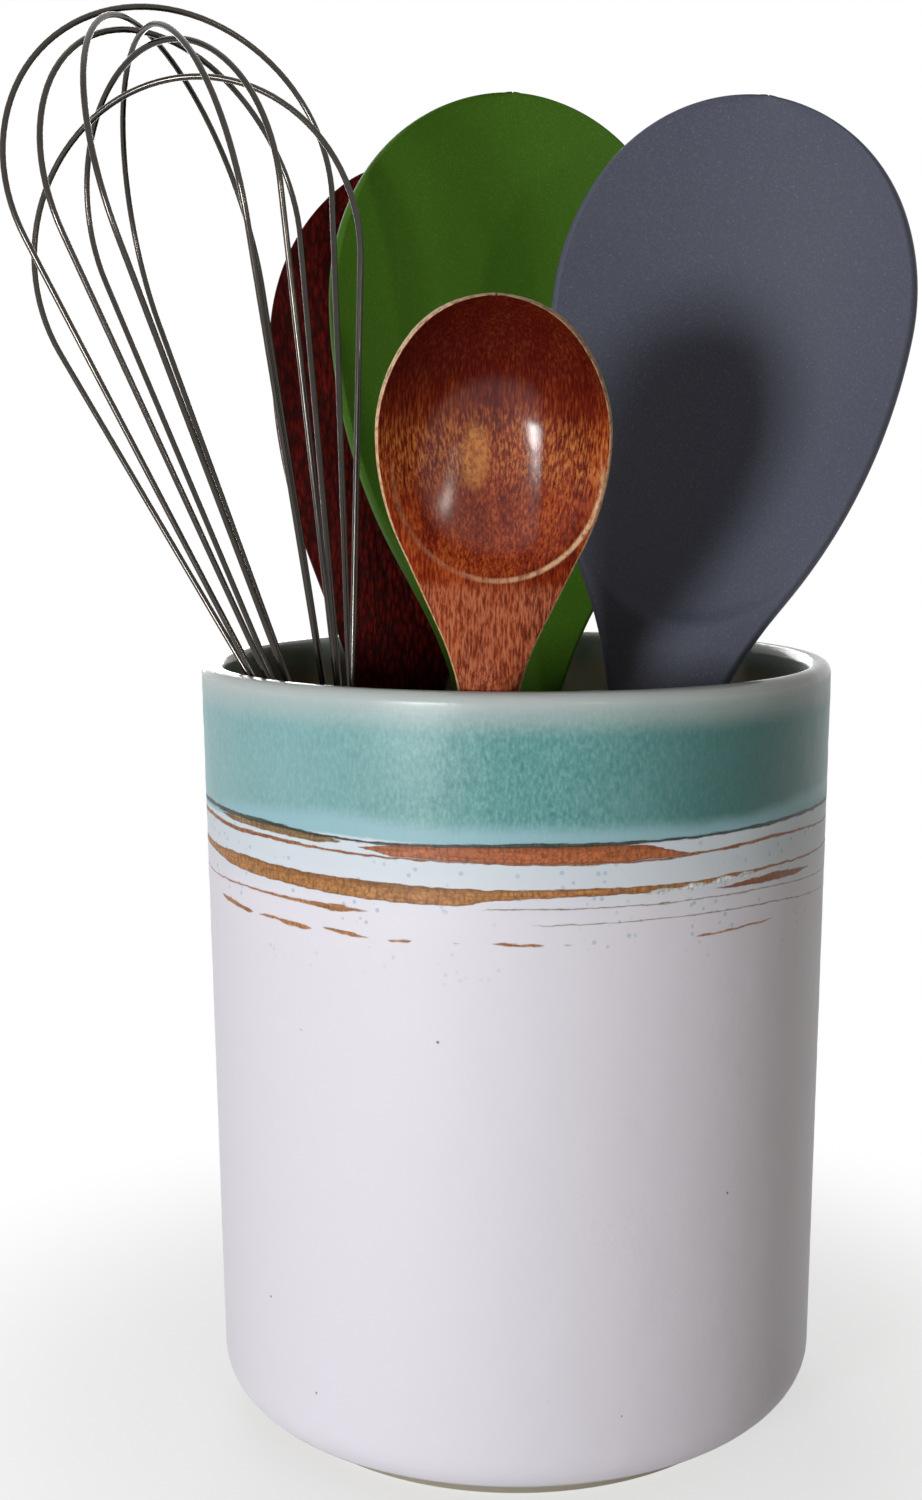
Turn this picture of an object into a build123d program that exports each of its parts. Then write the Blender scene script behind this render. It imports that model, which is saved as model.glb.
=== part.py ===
from build123d import *
import math
import os

# Kitchen utensil crock with the five tools that stand in it.
# Millimetres, +Z up. The origin is the centre of the flat foot that the crock stands on,
# and -Y is the front. Every tool has its own axis, from its lower tip up through its head.

# Crock: one thrown and fired piece, straight sided, on a low flat foot
crock_radius = 70.0
crock_height = 175.0
crock_wall = 5.0
rim_roundness = 2.4
floor_thickness = 9.0
inner_corner_radius = 9.0
outer_corner_radius = 10.5
foot_height = 4.0
foot_radius = 58.4
foot_taper = 0.6

# Room between a tool's tip and the floor, between a leaning tool and the rim, and past a cut
tip_clearance = 0.3
spoon_lean_clearance = 0.6
whisk_lean_clearance = 0.3
overrun = 1.0

crock_inner_radius = crock_radius - crock_wall

# Where each tool's axis meets the floor, and where it passes the lip, as shares of the
# crock's inner radius to the right and to the back
small_spoon_foot_shares = (-0.148, -0.238)
dark_spoon_foot_shares, dark_spoon_lip_shares = (-0.449, 0.415), (-0.438, 0.628)
green_spoon_foot_shares, green_spoon_lip_shares = (-0.035, 0.031), (-0.031, 0.243)
grey_spoon_foot_shares, grey_spoon_lip_shares = (0.097, -0.225), (0.506, -0.246)
whisk_foot_shares = (-0.046, -0.738)
# The two tools that lean on the lip itself do so at these bearings, from the right
small_spoon_bearing = -95.2
whisk_bearing = -147.2

# How far each face is turned about its own axis, from square to the front
small_spoon_turn = 0.0
dark_spoon_turn = 180.0
green_spoon_turn = 10.0
grey_spoon_turn = -12.0

# Small wooden spoon
small_length = 245.0
small_half_width = 21.7
small_crown_radius, small_crown_sweep = 19.5, 50.6
small_side_radius, small_flare_angle = 49.4, 24.0
small_neck_radius = 52.0
small_handle_radius = 5.0
small_face_depth = 3.2
small_edge_thickness = 1.8
small_bowl_depth = 8.8
small_bowl_wall = 2.6
small_rim_width = 1.0
small_bowl_length = 51.0
small_bowl_end_radius = 20.0

# Large dark wooden spoon
dark_length = 277.1
dark_half_width = 31.2
dark_crown_radius, dark_crown_sweep = 21.3, 36.8
dark_side_radius, dark_flare_angle = 147.0, 20.8
dark_neck_radius = 130.0
dark_handle_radius = 6.5
dark_face_depth = 4.0
dark_edge_thickness = 2.4
dark_bowl_depth = 9.0
dark_bowl_wall = 3.4
dark_rim_width = 1.6
dark_bowl_length = 84.0
dark_bowl_end_radius = 27.0

# Silicone spoons: one mould, of which the green one is the larger size
grey_length = 281.9
grey_half_width = 37.5
green_length = 287.3
green_half_width = 40.8
silicone_crown_share, silicone_crown_sweep = 0.962, 60.0
silicone_side_radius, silicone_flare_angle = 115.0, 29.0
silicone_neck_radius = 95.0
silicone_handle_radius = 8.0
silicone_face_depth = 5.5
silicone_edge_thickness = 4.0
silicone_bowl_depth = 8.5
silicone_bowl_wall = 4.0
silicone_rim_width = 1.0
silicone_bowl_length = 105.4
silicone_bowl_end_radius = 28.0
core_width = 8.0
core_thickness = 4.0
core_inset = 9.0
core_length = 158.0

# Whisk
wire_diameter = 1.25
whisk_handle_radius = 6.6
whisk_handle_length = 116.0
whisk_tube_wall = 0.8
wire_ring_radius = 4.4
wire_depth = 14.0
wire_neck_radius = 90.0
plug_length = 18.0
cap_height = 5.0
cap_plug_length = 6.0
ring_wire_diameter = 2.2
ring_radius = 7.0
ring_seat = 2.0

# Each wire loop: its half width, and the height of its crown above the whisk's lower tip
loop_1_half_width, loop_1_height = 34.4, 308.7
loop_2_half_width, loop_2_height = 33.6, 304.1
loop_3_half_width, loop_3_height = 38.3, 305.9
loop_4_half_width, loop_4_height = 37.4, 302.4
loop_5_half_width, loop_5_height = 30.6, 300.0
loop_6_half_width, loop_6_height = 35.3, 293.2

# The loops in order, each with its turn about the whisk's axis in degrees
whisk_loops = (
    (28.0, loop_1_half_width, loop_1_height),
    (52.0, loop_2_half_width, loop_2_height),
    (77.0, loop_3_half_width, loop_3_height),
    (116.0, loop_4_half_width, loop_4_height),
    (139.0, loop_5_half_width, loop_5_height),
    (170.0, loop_6_half_width, loop_6_height),
)

# Stations of a spoon head, from its neck at 0 to its crown at 1, as shares: height along
# the head, spread towards the full width, how much of the handle's depth is left behind,
# how much of the bowl's depth is there, and crown of the front, from round at 1 to flat at 0
head_station_shares = (
    (0.00, 0.00, 1.00, 0.00, 1.00),
    (0.07, 0.03, 1.00, 0.00, 1.00),
    (0.20, 0.34, 0.82, 0.10, 0.80),
    (0.36, 0.66, 0.46, 0.42, 0.45),
    (0.52, 0.96, 0.20, 0.76, 0.18),
    (0.68, 1.06, 0.05, 0.96, 0.12),
    (0.84, 1.08, 0.00, 0.80, 0.12),
    (0.95, 1.08, 0.00, 0.34, 0.12),
    (1.04, 1.08, 0.00, -0.12, 0.12),
)
# Depth of the bowl's hollow from its lower end at 0 to its top at 1, as shares
dish_station_shares = (
    (-0.06, 0.05),
    (0.04, 0.22),
    (0.20, 0.70),
    (0.40, 0.97),
    (0.58, 1.00),
    (0.76, 0.82),
    (0.90, 0.46),
    (1.00, 0.13),
    (1.06, 0.02),
)
# Half width of the cutter that hollows a bowl, and its reach in front, as shares of the head
cutter_width_share = 1.1
cutter_reach_share = 2.5
dish_end_sweep = 50.0
tip_share = 0.65
# The outline stands this much wider than the handle, so that it trims the head alone
outline_ease_share = 1.08
side_flat_share = 0.45

os.makedirs("parts", exist_ok=True)


def turned(axis, turn):
    """The same axis, turned about itself by a number of degrees."""
    return Plane(axis.location * Rotation(0, 0, turn))


def inside(shares):
    """Point in the crock, from its shares of the inner radius."""
    return crock_inner_radius * shares[0], crock_inner_radius * shares[1]


def against_lip(bearing, stand_off):
    """Point that stands off the inside of the lip, at a bearing in degrees."""
    reach = crock_inner_radius - stand_off
    return reach * math.cos(math.radians(bearing)), reach * math.sin(math.radians(bearing))


def tool_axis(foot, at_lip, tip_radius, turn=0.0):
    """Plane at a tool's lower tip: z along the tool, x across it, y towards its back."""
    lean_x = at_lip[0] - foot[0]
    lean_y = at_lip[1] - foot[1]
    rise = crock_height - rim_roundness - floor_thickness
    along = Vector(lean_x, lean_y, rise).normalized()
    across = Vector(0, 1, 0).cross(along).normalized()
    # A leaning tip dips on its lower side, so its middle stands that much higher
    dip = tip_radius * math.hypot(along.X, along.Y)
    tip = Vector(foot[0], foot[1], floor_thickness + tip_clearance + dip)
    return turned(Plane(origin=tip, x_dir=across, z_dir=along), turn)


def face_plane(axis):
    """Plane of a tool's outline: x across the tool, y along it, normal out of its front."""
    return Plane(origin=axis.origin, x_dir=axis.x_dir, z_dir=-axis.y_dir)


def shoulder_radius(half_width, crown_radius, crown_sweep):
    """Radius of the arc that takes a crown arc on to the widest point of a head."""
    reach = math.sin(math.radians(crown_sweep))
    return (half_width - crown_radius * reach) / (1 - reach)


def head_drop(half_width, crown_radius, crown_sweep):
    """Height of the crown and shoulder arcs, from the top down to the widest point."""
    shoulder = shoulder_radius(half_width, crown_radius, crown_sweep)
    rise = math.cos(math.radians(crown_sweep))
    return crown_radius * (1 - rise) + shoulder * rise


def flare_run(spec):
    """Length of the straight flank between the side arc and the neck arc."""
    inset = 1 - math.cos(math.radians(spec["flare_angle"]))
    left = spec["half_width"] - spec["side_radius"] * inset
    left -= spec["handle_radius"] * outline_ease_share + spec["neck_radius"] * inset
    return left / math.sin(math.radians(spec["flare_angle"]))


def neck_height(spec):
    """Height above the lower tip where the neck arc runs into the handle."""
    turn = math.radians(spec["flare_angle"])
    drop = head_drop(spec["half_width"], spec["crown_radius"], spec["crown_sweep"])
    drop += (spec["side_radius"] + spec["neck_radius"]) * math.sin(turn)
    drop += flare_run(spec) * math.cos(turn)
    return spec["length"] - drop


def spoon_outline(plane, spec):
    """Outline of a spoon seen square on, from the crown down one flank, then mirrored."""
    with BuildSketch(plane) as outline:
        with BuildLine():
            shoulder = shoulder_radius(
                spec["half_width"], spec["crown_radius"], spec["crown_sweep"]
            )
            crown = JernArc(
                (0, spec["length"]), (1, 0), spec["crown_radius"], -spec["crown_sweep"]
            )
            upper = JernArc(crown @ 1, crown % 1, shoulder, spec["crown_sweep"] - 90)
            side = JernArc(upper @ 1, upper % 1, spec["side_radius"], -spec["flare_angle"])
            flank = Line(side @ 1, side @ 1 + (side % 1) * flare_run(spec))
            neck = JernArc(flank @ 1, flank % 1, spec["neck_radius"], spec["flare_angle"])
            tip = Line(neck @ 1, ((neck @ 1).X, -overrun))
            Line(tip @ 1, (0, -overrun))
            mirror(about=Plane.YZ)
        make_face()
    return outline.sketch


def spoon_section(plane, half_width, face, edge, crown, back):
    """One cross-section: a crowned front, short straight sides and a rounder back."""
    with BuildSketch(plane) as section:
        with BuildLine():
            ThreePointArc((-half_width, -face), (0, -face - crown), (half_width, -face))
            Line((half_width, -face), (half_width, edge - face))
            ThreePointArc(
                (half_width, edge - face), (0, back), (-half_width, edge - face)
            )
            Line((-half_width, edge - face), (-half_width, -face))
        make_face()
    return section.sketch


def spoon_blank(axis, spec):
    """Solid spoon before its bowl is hollowed: a loft, cut to the outline."""
    handle = spec["handle_radius"]
    neck = neck_height(spec)
    head = spec["length"] - neck
    flat = handle * side_flat_share
    bowl_back = spec["bowl_depth"] + spec["bowl_wall"] - spec["face_depth"]
    rim_back = spec["edge_thickness"] - spec["face_depth"]
    round_section = spoon_section(axis, handle, flat, flat + flat, handle - flat, handle)
    sections = []
    for height_share, spread_share, stem_share, bowl_share, crown_share in head_station_shares:
        wide = handle + (spec["half_width"] - handle) * spread_share
        face = flat + (spec["face_depth"] - flat) * spread_share
        edge = flat + flat + (spec["edge_thickness"] - flat - flat) * spread_share
        crown = (handle - flat) * crown_share
        back = rim_back + (handle - rim_back) * stem_share + (bowl_back - rim_back) * bowl_share
        station = axis.offset(neck + head * height_share)
        sections.append(spoon_section(station, wide, face, edge, crown, back))
    outline = spoon_outline(face_plane(axis), spec)
    tip_radius = handle * tip_share
    with BuildPart() as blank:
        extrude(round_section, amount=neck)
        loft(sections)
        extrude(outline, amount=spec["half_width"], both=True, mode=Mode.INTERSECT)
        # A cone all round takes the sharp edge off the handle's tip
        with BuildSketch(face_plane(axis)) as envelope:
            with BuildLine():
                Polyline(
                    (0, 0),
                    (tip_radius, 0),
                    (tip_radius + spec["length"], spec["length"]),
                    (0, spec["length"]),
                    close=True,
                )
            make_face()
        revolve(axis=Axis(axis.origin, axis.z_dir), mode=Mode.INTERSECT)
    return blank.part


def half_width_at(spec, height):
    """Half width of a spoon's outline at a height on its head, down to its straight flank."""
    half_width, crown, side = spec["half_width"], spec["crown_radius"], spec["side_radius"]
    shoulder = shoulder_radius(half_width, crown, spec["crown_sweep"])
    widest = spec["length"] - head_drop(half_width, crown, spec["crown_sweep"])
    turn = math.radians(spec["flare_angle"])
    flank_top = widest - side * math.sin(turn)
    if height >= spec["length"] - crown * (1 - math.cos(math.radians(spec["crown_sweep"]))):
        below = min(spec["length"] - height, crown)
        return math.sqrt(max(below, spec["rim_width"]) * (2 * crown - below))
    if height >= widest:
        return half_width - shoulder + math.sqrt(shoulder**2 - (height - widest) ** 2)
    if height >= flank_top:
        return half_width - side + math.sqrt(side**2 - (widest - height) ** 2)
    return half_width - side * (1 - math.cos(turn)) - (flank_top - height) * math.tan(turn)


def dish_rim(spec):
    """Rim of the hollow: the outline drawn in by the rim's width, ended by an arc below."""
    rim = spec["rim_width"]
    inner = dict(spec)
    for name in ("length", "half_width", "crown_radius", "side_radius"):
        inner[name] = spec[name] - rim
    inner["neck_radius"] = spec["neck_radius"] + rim
    inner["handle_radius"] = spec["handle_radius"] - rim / outline_ease_share
    bottom = inner["length"] - spec["bowl_length"]
    sweep = math.radians(dish_end_sweep)
    end = (spec["end_radius"] * math.sin(sweep), bottom + spec["end_radius"] * (1 - math.cos(sweep)))
    far = (end[0] + spec["length"] * math.cos(sweep), end[1] + spec["length"] * math.sin(sweep))
    with BuildSketch(Plane.XZ) as lower_end:
        with BuildLine():
            ThreePointArc((-end[0], end[1]), (0, bottom), end)
            Line(end, far)
            Line(far, (-far[0], far[1]))
            Line((-far[0], far[1]), (-end[0], end[1]))
        make_face()
    return spoon_outline(Plane.XZ, inner), lower_end.sketch


def bowl_hollow(spec):
    """The spoon's hollow in its own frame: a shallow dish, open through the front."""
    half_width = spec["half_width"] * cutter_width_share
    front = spec["half_width"] * cutter_reach_share
    bottom = spec["length"] - spec["rim_width"] - spec["bowl_length"]
    sections = []
    for height_share, depth_share in dish_station_shares:
        height = bottom + spec["bowl_length"] * height_share
        depth = spec["bowl_depth"] * depth_share
        # The dish meets the face at the outline, and its curve runs on in front of it
        widening = (half_width / half_width_at(spec, height)) ** 2
        edge = max(depth * (1 - widening), overrun - front)
        with BuildSketch(Plane.XY.offset(height)) as section:
            with BuildLine():
                ThreePointArc((-half_width, edge), (0, depth), (half_width, edge))
                Line((half_width, edge), (half_width, -front))
                Line((half_width, -front), (-half_width, -front))
                Line((-half_width, -front), (-half_width, edge))
            make_face()
        sections.append(section.sketch)
    rim, lower_end = dish_rim(spec)
    with BuildPart() as hollow:
        loft(sections)
        extrude(rim, amount=front, both=True, mode=Mode.INTERSECT)
        extrude(lower_end, amount=front, both=True, mode=Mode.INTERSECT)
    return hollow.part


def hollowed_spoon(axis, spec):
    """A finished spoon: the blank less its hollow, which opens through the front face."""
    face = Pos(0, -spec["face_depth"], 0)
    with BuildPart() as spoon:
        add(spoon_blank(axis, spec))
        add(axis.location * face * bowl_hollow(spec), mode=Mode.SUBTRACT)
    return spoon.part


def spoon_spec(length, half_width, crown, sides, neck_radius, handle_radius, bowl):
    """Gathers one spoon's sizes under the names that the spoon functions read."""
    face_depth, edge_thickness, bowl_depth, bowl_wall, rim_width, bowl_length, end_radius = bowl
    return {
        "length": length,
        "half_width": half_width,
        "crown_radius": crown[0],
        "crown_sweep": crown[1],
        "side_radius": sides[0],
        "flare_angle": sides[1],
        "neck_radius": neck_radius,
        "handle_radius": handle_radius,
        "face_depth": face_depth,
        "edge_thickness": edge_thickness,
        "bowl_depth": bowl_depth,
        "bowl_wall": bowl_wall,
        "rim_width": rim_width,
        "bowl_length": bowl_length,
        "end_radius": end_radius,
    }


# Crock, turned from one profile
with BuildPart() as crock_body:
    with BuildSketch(Plane.XZ):
        with BuildLine():
            side_bottom = foot_height + outer_corner_radius
            side_top = crock_height - rim_roundness
            Line((0, 0), (foot_radius - foot_taper, 0))
            Line((foot_radius - foot_taper, 0), (foot_radius, foot_height))
            Line((foot_radius, foot_height), (crock_radius - outer_corner_radius, foot_height))
            RadiusArc(
                (crock_radius - outer_corner_radius, foot_height),
                (crock_radius, side_bottom),
                -outer_corner_radius,
            )
            Line((crock_radius, side_bottom), (crock_radius, side_top))
            RadiusArc(
                (crock_radius, side_top),
                (crock_radius - rim_roundness, crock_height),
                -rim_roundness,
            )
            Line(
                (crock_radius - rim_roundness, crock_height),
                (crock_inner_radius + rim_roundness, crock_height),
            )
            RadiusArc(
                (crock_inner_radius + rim_roundness, crock_height),
                (crock_inner_radius, side_top),
                -rim_roundness,
            )
            Line(
                (crock_inner_radius, side_top),
                (crock_inner_radius, floor_thickness + inner_corner_radius),
            )
            RadiusArc(
                (crock_inner_radius, floor_thickness + inner_corner_radius),
                (crock_inner_radius - inner_corner_radius, floor_thickness),
                inner_corner_radius,
            )
            Line((crock_inner_radius - inner_corner_radius, floor_thickness), (0, floor_thickness))
            Line((0, floor_thickness), (0, 0))
        make_face()
    revolve(axis=Axis.Z)

crock_body.part.label = "crock_body"
export_step(crock_body.part, "parts/crock_body.step")


# Small wooden spoon, leaning on the front of the rim
small_axis = tool_axis(
    inside(small_spoon_foot_shares),
    against_lip(small_spoon_bearing, small_handle_radius + spoon_lean_clearance),
    small_handle_radius,
    small_spoon_turn,
)
small_spec = spoon_spec(
    small_length,
    small_half_width,
    (small_crown_radius, small_crown_sweep),
    (small_side_radius, small_flare_angle),
    small_neck_radius,
    small_handle_radius,
    (
        small_face_depth,
        small_edge_thickness,
        small_bowl_depth,
        small_bowl_wall,
        small_rim_width,
        small_bowl_length,
        small_bowl_end_radius,
    ),
)
with BuildPart() as small_wooden_spoon:
    add(hollowed_spoon(small_axis, small_spec))

small_wooden_spoon.part.label = "small_wooden_spoon"
export_step(small_wooden_spoon.part, "parts/small_wooden_spoon.step")


# Large dark wooden spoon at the back, its hollow turned away from the front
dark_axis = tool_axis(
    inside(dark_spoon_foot_shares),
    inside(dark_spoon_lip_shares),
    dark_handle_radius,
    dark_spoon_turn,
)
dark_spec = spoon_spec(
    dark_length,
    dark_half_width,
    (dark_crown_radius, dark_crown_sweep),
    (dark_side_radius, dark_flare_angle),
    dark_neck_radius,
    dark_handle_radius,
    (
        dark_face_depth,
        dark_edge_thickness,
        dark_bowl_depth,
        dark_bowl_wall,
        dark_rim_width,
        dark_bowl_length,
        dark_bowl_end_radius,
    ),
)
with BuildPart() as dark_wooden_spoon:
    add(hollowed_spoon(dark_axis, dark_spec))

dark_wooden_spoon.part.label = "dark_wooden_spoon"
export_step(dark_wooden_spoon.part, "parts/dark_wooden_spoon.step")


def spoon_core(axis):
    """Flat stiffening bar inside a silicone spoon, from the handle up into the neck."""
    with BuildPart() as core:
        with BuildSketch(axis.offset(core_inset)):
            SlotOverall(core_width, core_thickness)
        extrude(amount=core_length)
    return core.part


def silicone_spec(length, half_width):
    """Sizes of a silicone spoon of one head size."""
    return spoon_spec(
        length,
        half_width,
        (half_width * silicone_crown_share, silicone_crown_sweep),
        (silicone_side_radius, silicone_flare_angle),
        silicone_neck_radius,
        silicone_handle_radius,
        (
            silicone_face_depth,
            silicone_edge_thickness,
            silicone_bowl_depth,
            silicone_bowl_wall,
            silicone_rim_width,
            silicone_bowl_length,
            silicone_bowl_end_radius,
        ),
    )


# Green silicone spoon, middle of the crock
green_axis = tool_axis(
    inside(green_spoon_foot_shares),
    inside(green_spoon_lip_shares),
    silicone_handle_radius,
    green_spoon_turn,
)
with BuildPart() as green_spoon_core:
    add(spoon_core(green_axis))
with BuildPart() as green_spoon_silicone:
    add(hollowed_spoon(green_axis, silicone_spec(green_length, green_half_width)))
    add(green_spoon_core.part, mode=Mode.SUBTRACT)

green_spoon_core.part.label = "green_spoon_core"
export_step(green_spoon_core.part, "parts/green_spoon_core.step")
green_spoon_silicone.part.label = "green_spoon_silicone"
export_step(green_spoon_silicone.part, "parts/green_spoon_silicone.step")


# Grey silicone spoon, leaning to the right
grey_axis = tool_axis(
    inside(grey_spoon_foot_shares),
    inside(grey_spoon_lip_shares),
    silicone_handle_radius,
    grey_spoon_turn,
)
with BuildPart() as grey_spoon_core:
    add(spoon_core(grey_axis))
with BuildPart() as grey_spoon_silicone:
    add(hollowed_spoon(grey_axis, silicone_spec(grey_length, grey_half_width)))
    add(grey_spoon_core.part, mode=Mode.SUBTRACT)

grey_spoon_core.part.label = "grey_spoon_core"
export_step(grey_spoon_core.part, "parts/grey_spoon_core.step")
grey_spoon_silicone.part.label = "grey_spoon_silicone"
export_step(grey_spoon_silicone.part, "parts/grey_spoon_silicone.step")


# Whisk: a steel tube with six wire loops held in a plug at its top, and a hanging ring
tube_bottom = ring_radius + ring_radius + ring_wire_diameter - ring_seat + cap_height
tube_top = tube_bottom + whisk_handle_length
tube_bore = whisk_handle_radius - whisk_tube_wall
neck_offset = wire_ring_radius + wire_neck_radius


def loop_splay(half_width, crown_height):
    """Angle in radians at which a loop's straight legs lean out, to run into its crown arc."""
    rise = crown_height - half_width - tube_top
    reach = math.hypot(neck_offset, rise)
    return math.atan2(rise, neck_offset) - math.acos((half_width + wire_neck_radius) / reach)


def leg_reach(splay, height):
    """How far a leg's middle stands from the whisk's axis, at a height above the tube."""
    bend_top = wire_neck_radius * math.sin(splay)
    if height < bend_top:
        return neck_offset - math.sqrt(wire_neck_radius**2 - max(height, 0) ** 2)
    return neck_offset - wire_neck_radius * math.cos(splay) + (height - bend_top) * math.tan(splay)


# The whisk leans where its cage of wires, at its widest there, just clears the lip
lean_run = math.dist(inside(whisk_foot_shares), against_lip(whisk_bearing, whisk_handle_radius))
lip_height = math.hypot(crock_height - rim_roundness - floor_thickness, lean_run) - tube_top
cage_radius = max(
    leg_reach(loop_splay(half_width, crown_height), lip_height)
    for turn, half_width, crown_height in whisk_loops
)
whisk_axis = tool_axis(
    inside(whisk_foot_shares),
    against_lip(
        whisk_bearing,
        max(cage_radius + wire_diameter / 2, whisk_handle_radius) + whisk_lean_clearance,
    ),
    ring_wire_diameter,
)

with BuildPart() as whisk_handle:
    with BuildSketch(whisk_axis.offset(tube_bottom)):
        Circle(whisk_handle_radius)
        Circle(tube_bore, mode=Mode.SUBTRACT)
    extrude(amount=whisk_handle_length)

whisk_handle.part.label = "whisk_handle"
export_step(whisk_handle.part, "parts/whisk_handle.step")

whisk_wires = []
for number, (turn, half_width, crown_height) in enumerate(whisk_loops, start=1):
    # Each leg leaves the plug straight, bends outwards, and runs straight into the crown arc
    centre = crown_height - half_width
    splay = loop_splay(half_width, crown_height)
    leg = [(wire_ring_radius, tube_top - wire_depth), (wire_ring_radius, tube_top)]
    for bend in (splay / 2, splay):
        across = neck_offset - wire_neck_radius * math.cos(bend)
        leg.append((across, tube_top + wire_neck_radius * math.sin(bend)))
    leg.append((half_width * math.cos(splay), centre - half_width * math.sin(splay)))
    other_leg = [(-x, y) for x, y in leg]
    loop_plane = face_plane(turned(whisk_axis, turn))
    with BuildPart() as whisk_wire:
        with BuildLine(loop_plane) as route:
            Line(other_leg[0], other_leg[1])
            ThreePointArc(other_leg[1], other_leg[2], other_leg[3])
            Line(other_leg[3], other_leg[4])
            ThreePointArc(other_leg[4], (0, crown_height), leg[4])
            Line(leg[4], leg[3])
            ThreePointArc(leg[3], leg[2], leg[1])
            Line(leg[1], leg[0])
        with BuildSketch(Plane(origin=route.line @ 0, z_dir=route.line % 0)):
            Circle(wire_diameter / 2)
        sweep()
    whisk_wire.part.label = f"whisk_wire_{number}"
    export_step(whisk_wire.part, f"parts/whisk_wire_{number}.step")
    whisk_wires.append(whisk_wire.part)

with BuildPart() as whisk_plug:
    with BuildSketch(whisk_axis.offset(tube_top - plug_length)):
        Circle(tube_bore)
    extrude(amount=plug_length)
    add(whisk_wires, mode=Mode.SUBTRACT)

whisk_plug.part.label = "whisk_plug"
export_step(whisk_plug.part, "parts/whisk_plug.step")

ring_centre = ring_radius + ring_wire_diameter / 2
with BuildPart() as whisk_hanging_ring:
    with BuildLine(face_plane(whisk_axis)) as ring_route:
        CenterArc((0, ring_centre), ring_radius, 0, 360)
    with BuildSketch(Plane(origin=ring_route.line @ 0, z_dir=ring_route.line % 0)):
        Circle(ring_wire_diameter / 2)
    sweep()

whisk_hanging_ring.part.label = "whisk_hanging_ring"
export_step(whisk_hanging_ring.part, "parts/whisk_hanging_ring.step")

with BuildPart() as whisk_end_cap:
    with BuildSketch(whisk_axis.offset(tube_bottom)):
        Circle(whisk_handle_radius)
    extrude(amount=-cap_height, taper=math.degrees(math.atan(ring_wire_diameter / cap_height)))
    with BuildSketch(whisk_axis.offset(tube_bottom)):
        Circle(tube_bore)
    extrude(amount=cap_plug_length)
    add(whisk_hanging_ring.part, mode=Mode.SUBTRACT)

whisk_end_cap.part.label = "whisk_end_cap"
export_step(whisk_end_cap.part, "parts/whisk_end_cap.step")
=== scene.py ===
"""Looks for a glazed utensil crock and the five kitchen tools that stand in it.

Lengths are in metres unless a name or a description says millimetres. Every piece is
placed in the same frame as the solids: +Z up, the crock's foot on z = 0, -Y to the front.
"""

import logging
import math
from dataclasses import dataclass
from enum import Enum
from typing import Dict, List, NamedTuple, Optional, Sequence, Tuple, Union

import bpy
import numpy as np
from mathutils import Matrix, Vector


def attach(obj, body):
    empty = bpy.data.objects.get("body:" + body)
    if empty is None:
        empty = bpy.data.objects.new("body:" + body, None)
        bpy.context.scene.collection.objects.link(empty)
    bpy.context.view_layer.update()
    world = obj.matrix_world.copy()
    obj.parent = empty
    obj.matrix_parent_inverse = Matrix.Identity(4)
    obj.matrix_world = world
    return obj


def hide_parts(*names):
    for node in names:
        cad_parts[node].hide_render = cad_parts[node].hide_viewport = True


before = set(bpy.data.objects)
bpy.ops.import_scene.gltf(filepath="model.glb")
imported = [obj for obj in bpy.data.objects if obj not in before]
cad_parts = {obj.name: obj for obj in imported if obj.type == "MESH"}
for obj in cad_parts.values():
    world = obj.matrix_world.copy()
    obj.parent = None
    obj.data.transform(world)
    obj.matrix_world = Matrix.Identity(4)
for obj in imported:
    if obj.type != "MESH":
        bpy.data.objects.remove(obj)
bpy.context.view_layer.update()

LOG = logging.getLogger("utensil_crock")
MM = 0.001
UPWARD = (0.0, 0.0, 1.0)
NO_TURN = (0.0, 0.0, 0.0)
WHITE = (1.0, 1.0, 1.0)

# Points in one radian of a rounded corner.
ARC_DENSITY = 8

# Sockets of a Mix node that are for its share and its colours, which share their names.
MIX_SHARE, MIX_UNDER, MIX_OVER, MIX_RESULT = 0, 6, 7, 2

Colour = Tuple[float, float, float]
Triple = Tuple[float, float, float]
Table = Tuple[Tuple[float, float], ...]
Socket = bpy.types.NodeSocket
Value = Union[Socket, float, Colour]


class Cell(Enum):
    """What is measured in a pattern of random cells."""

    MIDDLE = "F1"
    EDGE = "DISTANCE_TO_EDGE"


class Layer(Enum):
    """The attributes that a spoon's skin stores for its wood and for its painted rim highlight."""

    PLACE = "spoon_place"
    # Share of rim and a front flag, which place the painted highlight on the rim and lip.
    RIM_HIGHLIGHT = "spoon_wear"


class Fade(NamedTuple):
    """A smooth step: where it starts and ends, and its results before and after."""

    start: float
    end: float
    low: float = 0.0
    high: float = 1.0


@dataclass(frozen=True)
class Grain:
    """A noise pattern: cells in one unit, finer layers, their strength, warp and squeeze along."""

    scale: float
    detail: float = 3.0
    rough: float = 0.5
    warp: float = 0.0
    along: float = 1.0


@dataclass(frozen=True)
class Oval:
    """An oval on a spoon's front, in mm: its middle across and along, and its half widths."""

    across: float
    along: float
    wide: float
    tall: float


def srgb(red: float, green: float, blue: float) -> Colour:
    """Turns a colour written as 0 to 255 into the linear values that nodes take.

    The darkest values are divided by 12.92, and the others follow a power of 2.4.

    Args:
        red: red from 0 to 255.
        green: green from 0 to 255.
        blue: blue from 0 to 255.

    Returns:
        The same colour as three linear numbers from 0 to 1.
    """
    written = np.array([red, green, blue]) / 255.0
    low = written / 12.92
    high = ((written + 0.055) / 1.055) ** 2.4
    return tuple(float(v) for v in np.where(written <= 0.04045, low, high))


def toned(colour: Colour, gain: float, lift: float = 0.0) -> Colour:
    """A colour multiplied by a gain and raised by a lift, held at white."""
    return tuple(min(1.0, part * gain + lift) for part in colour)


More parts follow.
